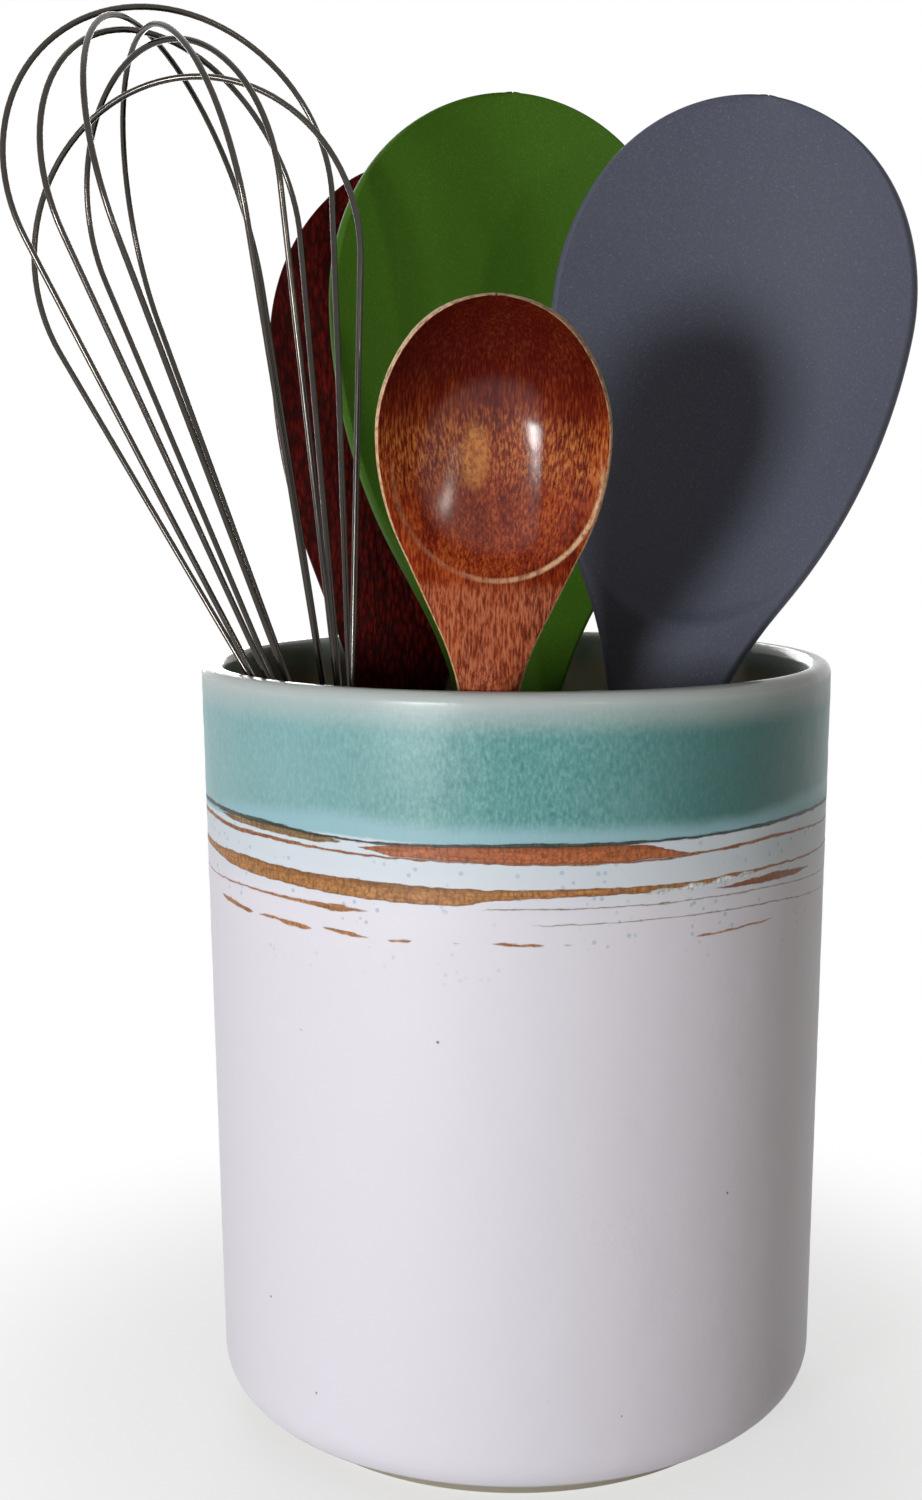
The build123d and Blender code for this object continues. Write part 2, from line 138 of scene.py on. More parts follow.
class NodeGraph:
    """One material's nodes, with a short method for each kind that the finishes use."""

    def __init__(self, name: str) -> None:
        """Starts an empty material that ends in a Principled shader.

        Args:
            name: the material's name.
        """
        self.material = bpy.data.materials.new(name)
        self.material.use_nodes = True
        self.tree = self.material.node_tree
        self.tree.nodes.clear()
        self.shader = self.tree.nodes.new("ShaderNodeBsdfPrincipled")
        self.output = self.tree.nodes.new("ShaderNodeOutputMaterial")
        self.tree.links.new(self.shader.outputs["BSDF"], self.output.inputs["Surface"])

    def put(self, target: Socket, value: Value) -> None:
        """Links a socket, or writes a plain value into it.

        Args:
            target: the input to fill.
            value: another node's output, a number, or a colour of three numbers.
        """
        if isinstance(value, bpy.types.NodeSocket):
            self.tree.links.new(value, target)
        elif isinstance(value, (tuple, list)) and target.type == "RGBA":
            target.default_value = (*value[:3], 1.0)
        else:
            target.default_value = value

    def set(self, name: str, value: Value) -> None:
        """Fills one of the Principled shader's inputs."""
        self.put(self.shader.inputs[name], value)

    def position(self, turn: Triple = NO_TURN, along: float = 1.0) -> Socket:
        """The point in the object's own coordinates, turned, then squeezed along +Z.

        Args:
            turn: Euler angles in radians.
            along: factor on Z, after the turn.

        Returns:
            The vector output.
        """
        place = self.tree.nodes.new("ShaderNodeTexCoord").outputs["Object"]
        for name, value in (("Rotation", turn), ("Scale", (1.0, 1.0, along))):
            node = self.tree.nodes.new("ShaderNodeMapping")
            node.inputs[name].default_value = value
            self.put(node.inputs["Vector"], place)
            place = node.outputs["Vector"]
        return place

    def parts(self, vector: Socket) -> Tuple[Socket, Socket, Socket]:
        """A vector's three numbers."""
        node = self.tree.nodes.new("ShaderNodeSeparateXYZ")
        self.put(node.inputs["Vector"], vector)
        return node.outputs["X"], node.outputs["Y"], node.outputs["Z"]

    def read(self, name: str) -> Socket:
        """A vector that the mesh stores at each of its points."""
        node = self.tree.nodes.new("ShaderNodeAttribute")
        node.attribute_name = name
        return node.outputs["Vector"]

    def math(self, operation: str, *values: Value) -> Socket:
        """One arithmetic step.

        Args:
            operation: Blender's name for it, such as ADD.
            values: its one to three numbers or sockets.

        Returns:
            The result.
        """
        node = self.tree.nodes.new("ShaderNodeMath")
        node.operation = operation
        for socket, value in zip(node.inputs, values):
            self.put(socket, value)
        return node.outputs["Value"]

    def plus(self, first: Value, second: Value) -> Socket:
        """The sum of two numbers."""
        return self.math("ADD", first, second)

    def less(self, first: Value, second: Value) -> Socket:
        """The first number less the second."""
        return self.math("SUBTRACT", first, second)

    def times(self, first: Value, second: Value) -> Socket:
        """The product of two numbers."""
        return self.math("MULTIPLY", first, second)

    def moved(self, value: Value, share: float, start: Value) -> Socket:
        """A start moved by a share of a number."""
        return self.math("MULTIPLY_ADD", value, share, start)

    def unsigned(self, value: Value) -> Socket:
        """A number without its sign."""
        return self.math("ABSOLUTE", value)

    def span(self, first: Value, second: Value) -> Socket:
        """The square root of the sum of two squares."""
        return self.math("SQRT", self.plus(self.times(first, first), self.times(second, second)))

    def scaled(self, value: Value, middle: float, unit: float) -> Socket:
        """How many units a number lies past a middle."""
        return self.math("DIVIDE", self.less(value, middle), unit)

    def ring(self, across: Socket, along: Socket, oval: Oval) -> Socket:
        """Distance from an oval's middle: 0 there, and 1 on the oval's own line.

        Args:
            across: place across the spoon in mm.
            along: place along it in mm.
            oval: the oval.

        Returns:
            The distance, in shares of the oval's half widths.
        """
        side = self.scaled(across, oval.across, oval.wide)
        return self.span(side, self.scaled(along, oval.along, oval.tall))

    def step(self, value: Socket, fade: Fade) -> Socket:
        """A smooth step of a number.

        Args:
            value: what is measured.
            fade: where it starts and ends, and the results.

        Returns:
            The stepped number.
        """
        node = self.tree.nodes.new("ShaderNodeMapRange")
        node.interpolation_type = "SMOOTHSTEP"
        self.put(node.inputs["Value"], value)
        for name, number in zip(("From Min", "From Max", "To Min", "To Max"), fade):
            self.put(node.inputs[name], number)
        return node.outputs["Result"]

    def noise(self, grain: Grain, turn: Triple = NO_TURN,
              vector: Optional[Socket] = None) -> Socket:
        """Fractal noise from 0 to 1, averaging 0.5.

        Args:
            grain: the pattern.
            turn: Euler angles that bring its long direction to +Z.
            vector: where it is read, if not in the object's coordinates.

        Returns:
            The noise value.
        """
        node = self.tree.nodes.new("ShaderNodeTexNoise")
        where = self.position(turn, grain.along) if vector is None else vector
        self.put(node.inputs["Vector"], where)
        for name, number in (("Scale", grain.scale), ("Detail", grain.detail),
                             ("Roughness", grain.rough), ("Distortion", grain.warp)):
            node.inputs[name].default_value = number
        return node.outputs["Fac"]

    def cells(self, scale: float, cell: Cell = Cell.MIDDLE, spread: float = 1.0,
              turn: Triple = NO_TURN, along: float = 1.0) -> Socket:
        """Distance from the middle or the edge of random cells.

        Args:
            scale: cells in one metre.
            cell: what is measured.
            spread: how irregular the cells are.
            turn: Euler angles that bring their long direction to +Z.
            along: squeeze along that direction.

        Returns:
            The distance.
        """
        node = self.tree.nodes.new("ShaderNodeTexVoronoi")
        node.feature = cell.value
        self.put(node.inputs["Vector"], self.position(turn, along))
        node.inputs["Scale"].default_value = scale
        node.inputs["Randomness"].default_value = spread
        return node.outputs["Distance"]

    def mix(self, share: Value, under: Value, over: Value) -> Socket:
        """Lays one colour over another.

        Args:
            share: how much of the upper colour shows, from 0 to 1.
            under: the colour beneath.
            over: the colour on top.

        Returns:
            The mixed colour.
        """
        node = self.tree.nodes.new("ShaderNodeMix")
        node.data_type = "RGBA"
        for index, value in ((MIX_SHARE, share), (MIX_UNDER, under), (MIX_OVER, over)):
            self.put(node.inputs[index], value)
        return node.outputs[MIX_RESULT]

    def veiled(self, colour: Value, *veils: Tuple[Socket, Fade, Value]) -> Socket:
        """Lays colours over another in order, each by a smooth step of its own measure.

        Args:
            colour: the colour beneath.
            veils: rows of a measure, its fade and the colour on top.

        Returns:
            The resulting colour.
        """
        for measure, fade, over in veils:
            colour = self.mix(self.step(measure, fade), colour, over)
        return colour

    def ramp(self, share: Socket, places: Triple, colours: Tuple[Colour, ...]) -> Socket:
        """A row of three colours along a number.

        Args:
            share: where along the row.
            places: where each colour is whole, in order.
            colours: the colours.

        Returns:
            The colour there.
        """
        node = self.tree.nodes.new("ShaderNodeValToRGB")
        elements = node.color_ramp.elements
        elements.new(0.5)
        for element, place, colour in zip(elements, places, colours):
            element.position = place
            element.color = (*colour, 1.0)
        self.put(node.inputs["Fac"], share)
        return node.outputs["Color"]

    def bump(self, height: Socket, distance: float, normal: Optional[Socket] = None) -> Socket:
        """A normal that follows a height.

        Args:
            height: the height, from 0 to 1.
            distance: what a height of 1 stands for, in metres.
            normal: a normal that it adds to.

        Returns:
            The new normal.
        """
        node = self.tree.nodes.new("ShaderNodeBump")
        node.inputs["Strength"].default_value = 1.0
        node.inputs["Distance"].default_value = distance
        self.put(node.inputs["Height"], height)
        if normal is not None:
            self.put(node.inputs["Normal"], normal)
        return node.outputs["Normal"]


def turn_to_upright(axis: Sequence[float]) -> Triple:
    """Euler angles that bring a tool's own axis to +Z, so that grain can follow it.

    Args:
        axis: direction of the tool, from its tip to its head.

    Returns:
        The angles in radians.
    """
    return tuple(Vector(axis).rotation_difference(Vector(UPWARD)).to_euler())


@dataclass(frozen=True)
class Stroke:
    """One brushed line round the crock: angle in degrees, middle and half height in mm."""

    name: str
    colour: Colour
    marks: Tuple[Triple, ...]
    soft_mm: float = 0.18
    weight: float = 1.0
    outline_mm: float = 0.45

    def along(self, angles: np.ndarray) -> np.ndarray:
        """The stroke's middle and half height at each angle, joined straight between marks.

        Args:
            angles: angles in degrees, from -180 to 180.

        Returns:
            One row for each angle: middle, half height and zero, in millimetres.
        """
        marks = np.array(self.marks)
        middle = np.interp(angles, marks[:, 0], marks[:, 1], period=360.0)
        half = np.interp(angles, marks[:, 0], marks[:, 2], period=360.0)
        return np.stack([middle, half, np.zeros_like(angles)], axis=1)


@dataclass(frozen=True)
class Pigment:
    """How the colour of every stroke gathers, thins and breaks up. Offsets are in mm."""

    deep_gain: float = 0.3
    light_gain: float = 1.2
    light_lift: float = 0.025
    ends: Fade = Fade(0.03, 0.12)
    streak: Grain = Grain(130.0, 4.0, 0.6, along=11.0)
    bright_streaks: Fade = Fade(0.36, 0.64)
    dark_streaks: Fade = Fade(0.46, 0.30, 0.0, 0.5)
    thin_foot: Fade = Fade(0.3, -1.1, 0.0, 0.45)
    thick_top: Fade = Fade(0.2, 1.6, 0.0, 0.5)
    grit: Fade = Fade(0.54, 0.38, 0.0, 0.6)
    crackle_scale: float = 620.0
    crackle_spread: float = 0.9
    crackle_along: float = 1.5
    crackle: Fade = Fade(0.24, 0.02, 0.0, 0.35)
    outline: float = 0.8


@dataclass(frozen=True)
class CrockGlaze:
    """White stoneware glaze, a mottled teal band and brushed iron lines.

    Heights are in mm above the foot, and the sides of painted shade and light in metres across from
    the axis.
    """

    strokes: Tuple[Stroke, ...]
    pigment: Pigment = Pigment()
    white: Colour = srgb(224, 221, 230)
    rim: Colour = srgb(182, 191, 190)
    teal: Colour = srgb(94, 150, 148)
    teal_light: Colour = srgb(132, 178, 178)
    teal_deep: Colour = srgb(66, 124, 122)
    # Painted shade: a darker teal laid over the crock's right side, away from the key lamp.
    teal_painted_shade: Colour = srgb(44, 94, 90)
    # Painted light: a paler teal laid over the crock's left side, towards the key lamp.
    teal_painted_light: Colour = srgb(156, 190, 196)
    sky: Colour = srgb(150, 188, 198)
    mist: Colour = srgb(196, 214, 220)
    inside: Colour = srgb(150, 144, 128)
    clay: Colour = srgb(214, 204, 190)
    speck: Colour = srgb(60, 50, 48)
    blue_speck: Colour = srgb(168, 186, 204)

    wave: Grain = Grain(22.0, 2.0)
    wave_mm: float = 2.2
    sky_wave_mm: float = 5.0
    ragged: Grain = Grain(260.0, 4.0, 0.6, along=5.0)
    ragged_mm: float = 0.9
    mottle: Grain = Grain(1400.0, 4.0, 0.6, along=0.5)
    mottle_stops: Triple = (0.24, 0.50, 0.80)
    cloud: Grain = Grain(60.0)
    cloud_fade: Fade = Fade(0.40, 0.75, 0.0, 0.3)
    # Where the painted shade of the teal band starts and is whole, across the crock.
    painted_shade_side: Fade = Fade(0.005, 0.052, 0.0, 0.85)
    # Where the painted light of the teal band starts and is whole, across the crock.
    painted_light_side: Fade = Fade(0.0, -0.05, 0.0, 0.42)

    band_foot: Fade = Fade(145.2, 145.9)
    band_top: Fade = Fade(165.5, 171.5, 0.0, 0.6)
    sky_line: Fade = Fade(151.0, 147.0, 0.0, 0.85)
    rim_line: Fade = Fade(170.5, 174.0)
    mist_line: Fade = Fade(129.0, 141.0, 0.0, 0.6)
    inner_wall: Fade = Fade(67.0, 66.0)
    inner_top: Fade = Fade(173.0, 166.0)
    bare_foot: Fade = Fade(0.5, 0.2)

    freckle_scale: float = 430.0
    freckle: Fade = Fade(0.26, 0.14)
    freckle_line: Fade = Fade(112.0, 130.0)
    freckle_patch: Grain = Grain(90.0, 2.0)
    freckle_patch_fade: Fade = Fade(0.48, 0.60, 0.0, 0.8)
    dot_scale: float = 110.0
    dot: Fade = Fade(0.045, 0.028, 0.0, 0.8)
    dot_patch: Grain = Grain(35.0, 1.0)
    dot_patch_fade: Fade = Fade(0.52, 0.60)

    gloss: Fade = Fade(146.0, 150.0, 0.50, 0.38)
    rim_gloss: Fade = Fade(172.0, 174.0, 0.0, 0.22)
    bare_roughness: float = 0.5
    shine: float = 0.3
    ripple: Grain = Grain(110.0, 2.0, 0.4)
    ripple_depth: float = 0.00025
    pits: Grain = Grain(900.0, 2.0)
    pit_depth: float = 0.00003

    def band(self, graph: NodeGraph, x: Socket, drawn: Socket, wave: Socket,
             mottle: Socket) -> Socket:
        """The teal band: mottled, with painted shade to the right and painted light to the left,
        and paler at its foot and rim.

        Args:
            graph: the material's nodes.
            x: place across the crock in metres.
            drawn: height in mm, with the glaze's runs.
            wave: the slow waves of its edges.
            mottle: the fine mottle.

        Returns:
            The band's colour.
        """
        teals = (self.teal_deep, self.teal, self.teal_light)
        return graph.veiled(
            graph.ramp(mottle, self.mottle_stops, teals),
            (graph.noise(self.cloud), self.cloud_fade, self.teal_light),
            # Painted shade on the right side and painted light on the left side.
            (x, self.painted_shade_side, self.teal_painted_shade), (x, self.painted_light_side, self.teal_painted_light),
            (drawn, self.band_top, self.rim),
            (graph.moved(wave, self.sky_wave_mm, drawn), self.sky_line, self.sky),
            (drawn, self.rim_line, self.rim))

    def ground(self, graph: NodeGraph, drawn: Socket) -> Socket:
        """The white glaze, with mist below the band, blue freckles and a few dark specks.

        Args:
            graph: the material's nodes.
            drawn: height in mm, with the glaze's runs.

        Returns:
            The ground's colour.
        """
        colour = graph.veiled(self.white, (drawn, self.mist_line, self.mist))
        freckles = graph.times(graph.step(graph.cells(self.freckle_scale), self.freckle),
                               graph.step(drawn, self.freckle_line))
        dots = graph.step(graph.cells(self.dot_scale), self.dot)
        for specks, patch, fade, over in (
                (freckles, self.freckle_patch, self.freckle_patch_fade, self.blue_speck),
                (dots, self.dot_patch, self.dot_patch_fade, self.speck)):
            share = graph.times(specks, graph.step(graph.noise(patch), fade))
            colour = graph.mix(share, colour, over)
        return colour

    def painted(self, graph: NodeGraph, colour: Socket, edge: Socket, mottle: Socket) -> Socket:
        """Lays every brushed stroke over the glaze, in order.

        Args:
            graph: the material's nodes.
            colour: the glaze beneath.
            edge: height in mm, with the ragged edge of a brush.
            mottle: the fine mottle.

        Returns:
            The colour with the strokes.
        """
        look = self.pigment
        crackle = graph.cells(look.crackle_scale, Cell.EDGE, look.crackle_spread,
                              along=look.crackle_along)
        streak = graph.noise(look.streak)
        for stroke in self.strokes:
            middle, half, _ = graph.parts(graph.read(stroke.name))
            offset = graph.less(edge, middle)
            inside = graph.less(graph.times(half, stroke.weight), graph.unsigned(offset))
            cover = graph.step(inside, Fade(-stroke.soft_mm * 0.5, stroke.soft_mm))
            cover = graph.times(cover, graph.step(half, look.ends))
            deep = toned(stroke.colour, look.deep_gain)
            light = toned(stroke.colour, look.light_gain, look.light_lift)
            tint = graph.veiled(
                stroke.colour, (streak, look.bright_streaks, light),
                (offset, look.thin_foot, light), (streak, look.dark_streaks, deep),
                (offset, look.thick_top, deep), (mottle, look.grit, deep),
                (crackle, look.crackle, deep),
                (inside, Fade(stroke.outline_mm, 0.0, 0.0, look.outline), deep))
            colour = graph.mix(cover, colour, tint)
        return colour

    def build(self) -> bpy.types.Material:
        """Makes the material.

        Returns:
            The glaze, which reads the crock's stroke attributes.
        """
        graph = NodeGraph("crock_glaze")
        x, y, z = graph.parts(graph.position())
        height = graph.times(z, 1.0 / MM)
        radius = graph.times(graph.span(x, y), 1.0 / MM)
        wave = graph.less(graph.noise(self.wave), 0.5)
        ragged = graph.less(graph.noise(self.ragged), 0.5)
        drawn = graph.moved(ragged, self.ragged_mm, graph.moved(wave, self.wave_mm, height))
        mottle = graph.noise(self.mottle)
        teal = self.band(graph, x, drawn, wave, mottle)
        colour = graph.mix(graph.step(drawn, self.band_foot), self.ground(graph, drawn), teal)
        colour = self.painted(graph, colour, graph.plus(ragged, height), mottle)
        inner = graph.times(graph.step(radius, self.inner_wall), graph.step(height, self.inner_top))
        colour = graph.mix(inner, colour, self.inside)
        bare = graph.step(height, self.bare_foot)
        graph.set("Base Color", graph.mix(bare, colour, self.clay))
        gloss = graph.less(graph.step(drawn, self.gloss), graph.step(height, self.rim_gloss))
        graph.set("Roughness", graph.plus(gloss, graph.times(bare, self.bare_roughness)))
        graph.set("Specular IOR Level", self.shine)
        normal = graph.bump(graph.noise(self.ripple), self.ripple_depth)
        graph.set("Normal", graph.bump(graph.noise(self.pits), self.pit_depth, normal))
        return graph.material


@dataclass(frozen=True)
class BowlFigure:
    """How a spoon's wood changes over its head, with painted shade and painted highlights on it.
    Places are in mm, along it from the tip.
    """

    # Painted shade: the near-black red laid over the top of the bowl, where its hollow faces down.
    deep: Colour = srgb(66, 7, 3)
    gold: Colour = srgb(196, 128, 66)
    # Painted highlight: the pale colour laid along the rim and the bowl's lip.
    edge: Colour = srgb(220, 182, 142)
    pale: Colour = srgb(186, 112, 80)
    # Where the painted shade at the bowl's top starts and is whole, and how the fibres break it up.
    top: Fade = Fade(215.0, 232.0)
    painted_shade_fleck: Fade = Fade(0.75, 0.35, 0.72, 0.94)
    belt_middle: float = 216.0
    belt_half: float = 9.0
    belt: Fade = Fade(1.0, 0.2)
    belt_fleck: Fade = Fade(0.42, 0.72, 0.0, 0.62)
    heart: Oval = Oval(-3.4, 214.5, 2.6, 5.6)
    heart_fade: Fade = Fade(1.5, 0.3)
    ripple: Grain = Grain(0.9, 2.0, 0.5, 0.3)
    ripple_fade: Fade = Fade(0.38, 0.62, 0.35, 0.85)
    stem: Fade = Fade(193.5, 190.5)
    stem_fleck: Fade = Fade(0.38, 0.66, 0.10, 0.75)
    # Noise that breaks up the painted highlights on the rim and lip, and the rim share that lays
    # them.
    edge_highlight: Grain = Grain(900.0, 2.0)
    edge_highlight_fade: Fade = Fade(0.30, 0.60, 0.35, 0.95)
    rim: Fade = Fade(0.50, 0.95)
    # The bowl's lip: a painted highlight lies as a pale line along it on the right, and the lacquer
    # is kept inside it.
    lip: Oval = Oval(0.8, 213.1, 19.3, 20.0)
    lip_highlight_line: Fade = Fade(0.036, 0.008)
    lip_highlight_side: Fade = Fade(-13.0, 17.0, 0.12, 0.9)
    lip_highlight_top: Fade = Fade(218.0, 208.0)
    lacquer_line: Tuple[float, float] = (0.86, 0.66)
    lacquer_side: Fade = Fade(9.5, 6.8)

    def lay(self, graph: NodeGraph, colour: Socket, fleck: Socket) -> Socket:
        """Lays a golden belt and heart, a painted shade on the top and painted highlights on the
        edges.

        Args:
            graph: the material's nodes.
            colour: the plain wood.
            fleck: the fibres' pattern, from 0 to 1.

        Returns:
            The figured wood.
        """
        across, along, _ = graph.parts(graph.read(Layer.PLACE.value))
        rim, front, _ = graph.parts(graph.read(Layer.RIM_HIGHLIGHT.value))
        from_belt = graph.unsigned(graph.scaled(along, self.belt_middle, self.belt_half))
        ring = graph.ring(across, along, self.heart)
        ripple = graph.noise(self.ripple, vector=graph.read(Layer.PLACE.value))
        edge_highlight = graph.noise(self.edge_highlight)
        for measure, fade, pattern, pattern_fade, over in (
                # Painted shade over the bowl's top.
                (along, self.top, fleck, self.painted_shade_fleck, self.deep),
                (from_belt, self.belt, fleck, self.belt_fleck, self.gold),
                (graph.times(ring, ring), self.heart_fade, ripple, self.ripple_fade, self.gold),
                (along, self.stem, fleck, self.stem_fleck, self.pale),
                # Painted highlight: the pale edge along the rim.
                (rim, self.rim, edge_highlight, self.edge_highlight_fade, self.edge)):
            share = graph.times(graph.step(measure, fade), graph.step(pattern, pattern_fade))
            colour = graph.mix(share, colour, over)
        # Painted highlight: a pale line along the bowl's lip, on the right side of the front.
        from_lip = graph.unsigned(graph.less(graph.ring(across, along, self.lip), 1.0))
        lip = graph.step(from_lip, self.lip_highlight_line)
        for share in (graph.step(across, self.lip_highlight_side), graph.step(along, self.lip_highlight_top), front,
                      graph.step(edge_highlight, self.edge_highlight_fade)):
            lip = graph.times(lip, share)
        return graph.mix(lip, colour, self.edge)

    def lacquer(self, graph: NodeGraph, coat: float) -> Socket:
        """The lacquer: whole in the bowl's middle, worn off by its lip and at its right side.

        Args:
            graph: the material's nodes.
            coat: the coat's weight where it is whole.

        Returns:
            The coat's weight.
        """
        across, along, _ = graph.parts(graph.read(Layer.PLACE.value))
        kept = graph.step(graph.ring(across, along, self.lip), Fade(*self.lacquer_line, 0.0, coat))
        return graph.times(kept, graph.step(across, self.lacquer_side))


@dataclass(frozen=True)
class TurnedWood:
    """Hardwood whose short fibres and pores run along the tool, under a lacquer or oil."""

    name: str
    light: Colour
    middle: Colour
    dark: Colour
    axis: Triple
    gloss: float
    coat: float
    shine: float
    pebbled: float = 0.0
    figure: Optional[BowlFigure] = None

    bands: Grain = Grain(260.0, 4.0, 0.55, 0.4, 0.05)
    bands_share: float = 0.38
    fleck: Grain = Grain(2300.0, 3.0, 0.62, 0.0, 0.17)
    fleck_share: float = 0.62
    fleck_depth: float = 0.00009
    stops: Triple = (0.36, 0.49, 0.62)
    clouds: Grain = Grain(55.0, 2.0, 0.5, 0.0, 0.5)
    cloud_fade: Fade = Fade(0.35, 0.7, 0.0, 0.3)
    pores: Grain = Grain(3100.0, 2.0, 0.7, 0.0, 0.12)
    pore_fade: Fade = Fade(0.60, 0.72, 0.0, 0.6)
    pore_gain: float = 0.35
    pore_relief: Fade = Fade(0.7, 0.5)
    pore_depth: float = 0.00005
    dull_pores: Tuple[float, float] = (0.4, 0.7)
    dulled: float = 0.15
    coat_roughness: float = 0.15
    pebble_scale: float = 780.0
    pebble_along: float = 0.45
    pebble_edge: Tuple[float, float] = (0.25, 0.75)
    pebble_gain: float = 0.25
    pebble_relief: Fade = Fade(0.8, 0.1)
    pebble_depth: float = 0.0003

    def build(self) -> bpy.types.Material:
        """Makes the material.

        Returns:
            The wood, with its grain along the tool's axis.
        """
        graph = NodeGraph(self.name)
        turn = turn_to_upright(self.axis)
        bands, fleck, pores, clouds = (
            graph.noise(grain, turn) for grain in (self.bands, self.fleck, self.pores, self.clouds))
        fibres = graph.moved(fleck, self.fleck_share, graph.times(bands, self.bands_share))
        colour = graph.veiled(
            graph.ramp(fibres, self.stops, (self.dark, self.middle, self.light)),
            (clouds, self.cloud_fade, self.dark),
            (pores, self.pore_fade, toned(self.dark, self.pore_gain)))
        normal = graph.bump(graph.step(pores, self.pore_relief), self.pore_depth)
        coat: Value = self.coat
        if self.figure is not None:
            colour = self.figure.lay(graph, colour, fleck)
            coat = self.figure.lacquer(graph, self.coat)
        if self.pebbled > 0.0:
            pebbles = graph.cells(self.pebble_scale, turn=turn, along=self.pebble_along)
            shade = Fade(*self.pebble_edge, 0.0, self.pebbled)
            colour = graph.veiled(colour, (pebbles, shade, toned(self.dark, self.pebble_gain)))
            normal = graph.bump(graph.step(pebbles, self.pebble_relief), self.pebble_depth, normal)
        graph.set("Base Color", colour)
        dulled = Fade(*self.dull_pores, self.gloss, self.gloss + self.dulled)
        graph.set("Roughness", graph.step(pores, dulled))
        graph.set("Specular IOR Level", self.shine)
        graph.set("Coat Weight", coat)
        graph.set("Coat Roughness", self.coat_roughness)
        graph.set("Normal", graph.bump(fleck, self.fleck_depth, normal))
        return graph.material


@dataclass(frozen=True)
class MouldedSilicone:
    """Matte moulded silicone with a faint speckle and a satin skin."""

    name: str
    colour: Colour
    fleck: Colour
    shine: float = 0.1
    grain: Grain = Grain(2300.0, 2.0, 0.7)
    grain_fade: Fade = Fade(0.45, 0.75, 0.0, 0.5)
    grain_depth: float = 0.00004
    dust_scale: float = 420.0
    dust: Fade = Fade(0.12, 0.06, 0.0, 0.6)
    cloud: Grain = Grain(30.0, 2.0)
    cloud_fade: Fade = Fade(0.3, 0.8, 0.0, 0.25)
    cloud_gain: float = 0.8
    roughness: Fade = Fade(0.3, 0.8, 0.48, 0.62)

    def build(self) -> bpy.types.Material:
        """Makes the material.

        Returns:
            The silicone.
        """
        graph = NodeGraph(self.name)
        grain = graph.noise(self.grain)
        graph.set("Base Color", graph.veiled(
            self.colour, (grain, self.grain_fade, self.fleck),
            (graph.cells(self.dust_scale), self.dust, self.fleck),
            (graph.noise(self.cloud), self.cloud_fade, toned(self.colour, self.cloud_gain))))
        graph.set("Roughness", graph.step(grain, self.roughness))
        graph.set("Specular IOR Level", self.shine)
        graph.set("Normal", graph.bump(grain, self.grain_depth))
        return graph.material


@dataclass(frozen=True)
class DrawnSteel:
    """Polished stainless steel with faint marks from drawing and use."""

    name: str
    colour: Colour
    gloss: float
    marks: Grain = Grain(2600.0, 3.0, 0.6, 0.0, 0.1)
    mark_depth: float = 0.00001
    dull: Grain = Grain(140.0)
    dull_fade: Fade = Fade(0.35, 0.7, 0.0, 0.35)
    dull_gain: float = 0.6
    dull_spots: Tuple[float, float] = (0.3, 0.7)
    dulled: float = 0.12

    def build(self) -> bpy.types.Material:
        """Makes the material.

        Returns:
            The steel.
        """
        graph = NodeGraph(self.name)
        dull = graph.noise(self.dull)
        worn = toned(self.colour, self.dull_gain)
        graph.set("Base Color", graph.veiled(self.colour, (dull, self.dull_fade, worn)))
        graph.set("Metallic", 1.0)
        roughness = Fade(*self.dull_spots, self.gloss, self.gloss + self.dulled)
        graph.set("Roughness", graph.step(dull, roughness))
        graph.set("Normal", graph.bump(graph.noise(self.marks), self.mark_depth))
        return graph.material


@dataclass(frozen=True)
class HiddenPlastic:
    """Moulded plastic of the pieces that are sealed inside others."""

    name: str
    colour: Colour
    grain: Grain = Grain(900.0, 3.0, 0.6)
    grain_fade: Fade = Fade(0.3, 0.7)
    grain_gain: float = 1.3
    grain_depth: float = 0.00003
    roughness: float = 0.5

    def build(self) -> bpy.types.Material:
        """Makes the material.

        Returns:
            The plastic.
        """
        graph = NodeGraph(self.name)
        grain = graph.noise(self.grain)
        pale = toned(self.colour, self.grain_gain)
        graph.set("Base Color", graph.veiled(self.colour, (grain, self.grain_fade, pale)))
        graph.set("Roughness", self.roughness)
        graph.set("Normal", graph.bump(grain, self.grain_depth))
        return graph.material


IRON = srgb(58, 62, 54)
OLIVE = srgb(134, 106, 66)
RUST = srgb(172, 94, 50)
OCHRE = srgb(172, 116, 62)
BROWN = srgb(150, 90, 50)
TAN = srgb(176, 156, 128)
UMBER = srgb(140, 80, 44)
MILK = srgb(226, 230, 234)

